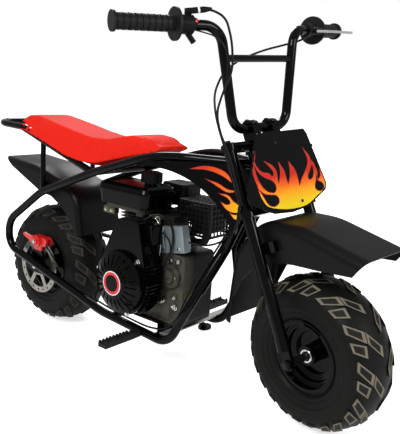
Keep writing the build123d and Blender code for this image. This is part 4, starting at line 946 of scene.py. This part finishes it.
# Under the tank: plug and stop leads, linkage rods and hoses. Each row has a name, radius,
# finish, slot and points.
WIRES = [
    ("ignition_lead", 2.6, cable_black, "cable_black",
     [(460, -118, 226), (478, -104, 246), (502, -88, 246), (524, -78, 220), (532, -80, 178),
      (520, -86, 136), (500, -92, 112)]),
    ("stop_lead", 1.8, cable_black, "cable_black",
     [(474, -112, 196), (498, -96, 208), (520, -86, 192), (530, -84, 160), (516, -90, 128), (514, -92, 84),
      (500, -94, 44), (476, -96, 20)]),
    ("throttle_link", 1.3, bright_zinc, "zinc_steel",
     [(470, -84, 232), (492, -82, 214), (498, -80, 178), (502, -80, 160)]),
    ("governor_rod", 1.3, bright_zinc, "zinc_steel",
     [(484, -84, 236), (488, -82, 200), (494, -84, 158), (490, -86, 128)]),
    ("fuel_hose", 3.2, cable_black, "cable_black",
     [(420, -40, 246), (432, -20, 236), (440, 10, 226), (444, 34, 214), (442, 46, 206)]),
    ("breather_hose", 4.0, cable_black, "cable_black",
     [(476, 30, 214), (496, 18, 240), (478, 24, 262), (470, 34, 272)]),
]
for name, radius, finish, slot, points in WIRES:
    add_wire(name, points, radius, "frame", finish)

# Finned head and the intake behind the shroud, up to the tank
bm = bmesh.new()
add_block(bm, (322, -34, 168), (448, 26, 240))
for k in range(8):
    add_block(bm, (306, -46, 170 + 8.4 * k), (462, 36, 173.4 + 8.4 * k), 0.8)
add_disc(bm, (446, -22, 204), (1, 0, 0), 21, 50, sides=32, bevel=2)
add_block(bm, (470, -52, 186), (504, 8, 236), 3)
add_disc(bm, (488, -26, 192), (0, 0, -1), 19, 34, sides=32, bevel=3)
add_disc(bm, (500, -40, 214), (0.3, -1, 0), 9, 16, sides=24, bevel=1.5)
add_piece("cylinder_head", bm, [head_cast], "frame", UPRIGHT)
bm = bmesh.new()
add_block(bm, (276, -80, 214), (318, -62, 232), 1.5)
add_block(bm, (438, -74, 226), (476, -60, 238), 1.5)
add_piece("tank_brackets", bm, [olive_steel], "frame", UPRIGHT)
bm = bmesh.new()
for x, z in ((286, 223), (308, 223), (448, 231), (468, 231)):
    add_bolt(bm, (x, -80 if x < 400 else -74, z), (0, -1, 0), 3.6)
add_bolt(bm, (478, -53, 226), (0, -1, 0), 3)
add_bolt(bm, (478, -53, 196), (0, -1, 0), 3)
add_piece("head_bolts", bm, [bright_zinc], "frame", UPRIGHT)

# Crankcase: cast ribs on its front, a round side cover's flange, oil filler and drain
# Bosses on its side, each with a bolt: x, z and radius
BOSSES = [(496, 118, 9), (520, 134, 8), (538, 92, 9), (536, 40, 9), (502, 24, 8)]
# The flange's section: radius and height
FLANGE = [(62, 0), (62, 5), (58, 7), (52, 7), (50, 3)]
bm = bmesh.new()
for y in (-64, -50, -36):
    add_box(bm, (549.5, y - 2, 20), (554.5, y + 2, 128))
for x, z, r in BOSSES:
    add_disc(bm, (x, -68, z), (0, -1, 0), r, 7, sides=20, bevel=1.2)
add_lathe(bm, FLANGE, CRANK + Vector((10, -80, -2)), (0, -1, 0), steps=64)
add_piece("crankcase_ribs", bm, [block_alloy_painted_shade], "frame", UPRIGHT)
bm = bmesh.new()
for x, z, r in BOSSES:
    add_bolt(bm, (x, -75, z), (0, -1, 0), 4.2)
for k in range(5):
    a = math.radians(-70 + 32 * k)
    add_bolt(bm, CRANK + Vector((10 + 66 * math.cos(a), -86, -2 + 66 * math.sin(a))), (0, -1, 0), 3.6)
add_bolt(bm, (540, -72, 14), (0, -1, 0), 6)
add_piece("crankcase_bolts", bm, [bright_zinc], "frame", UPRIGHT)
bm = bmesh.new()
add_disc(bm, (556, -52, 44), (1, -0.3, 0.15), 12, 12, sides=24, bevel=1.5)
add_disc(bm, (566, -55, 45.5), (1, -0.3, 0.15), 7, 6, sides=6, bevel=0.8)
add_piece("oil_filler", bm, [olive_steel], "frame", UPRIGHT)

# A bare flat bar over the lower loops in front of the engine plate
bm = bmesh.new()
add_block(bm, (515, -98, -54.9), (541, 172, -51.9), 0.6)
add_piece("bare_cross_bar", bm, [pale_steel], "frame", UPRIGHT)

# Floor and backdrop: one pale surface, white to the camera
floor_mesh = bpy.data.meshes.new("floor")
floor_mesh.from_pydata([(-6, -6, 0), (6, -6, 0), (6, 6, 0), (-6, 6, 0)], [], [(0, 1, 2, 3)])
floor = bpy.data.objects.new("floor", floor_mesh)
bpy.context.collection.objects.link(floor)
floor_white = material("floor", (0.95, 0.95, 0.95), 0.7, vary=0.01)
tree = floor_white.node_tree
FLOOR_LIFT = 0.6
ray_kind = tree.nodes.new("ShaderNodeLightPath")
lift = tree.nodes.new("ShaderNodeMath")
lift.operation = "MULTIPLY"
lift.inputs[1].default_value = FLOOR_LIFT
tree.links.new(ray_kind.outputs["Is Camera Ray"], lift.inputs[0])
floor_shader = tree.nodes["Principled BSDF"]
floor_shader.inputs["Emission Color"].default_value = (1, 1, 1, 1)
tree.links.new(lift.outputs["Value"], floor_shader.inputs["Emission Strength"])
floor.data.materials.append(floor_white)

world = bpy.data.worlds.new("studio")
bpy.context.scene.world = world
world.use_nodes = True
# The sky is white to the camera and softer to the surfaces
SKY_LEVEL = 0.5
sky = world.node_tree.nodes["Background"]
sky.inputs["Color"].default_value = (1, 1, 1, 1)
sky_kind = world.node_tree.nodes.new("ShaderNodeLightPath")
sky_level = world.node_tree.nodes.new("ShaderNodeMapRange")
sky_level.inputs["To Min"].default_value = SKY_LEVEL
sky_level.inputs["To Max"].default_value = 1.0
world.node_tree.links.new(sky_kind.outputs["Is Camera Ray"], sky_level.inputs["Value"])
world.node_tree.links.new(sky_level.outputs["Result"], sky.inputs["Strength"])


def lamp(name, at, size, power):
    """A soft square light that faces the bike's middle."""
    light = bpy.data.lights.new(name, "AREA")
    light.shape = "SQUARE"
    light.size = size
    light.energy = power
    obj = bpy.data.objects.new(name, light)
    obj.location = at
    aim = Vector((0, 0, 0.45)) - obj.location
    obj.rotation_euler = aim.to_track_quat("-Z", "Y").to_euler()
    bpy.context.collection.objects.link(obj)


lamp("key", (0.6, -2.4, 2.8), 1.2, 85)
lamp("fill", (3.0, 0.4, 1.8), 1.0, 35)
lamp("back", (-1.8, 1.8, 2.2), 1.0, 45)

# Camera
camera = bpy.data.cameras.new("camera")
camera.sensor_fit = "HORIZONTAL"
camera.sensor_width = SENSOR_MM
camera.lens = FOCAL_PX / PHOTO_W * SENSOR_MM
camera.shift_x = -(CENTRE_PX[0] - PHOTO_MIDDLE[0]) / PHOTO_W
camera.shift_y = (CENTRE_PX[1] - PHOTO_MIDDLE[1]) / PHOTO_W
camera.clip_start = 0.05
camera_obj = bpy.data.objects.new("camera", camera)
turn = Matrix((aside, above, -look)).transposed().to_4x4()
camera_obj.matrix_world = Matrix.Translation(bike(*CAMERA_AT)) @ turn
bpy.context.collection.objects.link(camera_obj)
bpy.context.scene.camera = camera_obj
bpy.context.scene.view_settings.view_transform = "Standard"

write_size()
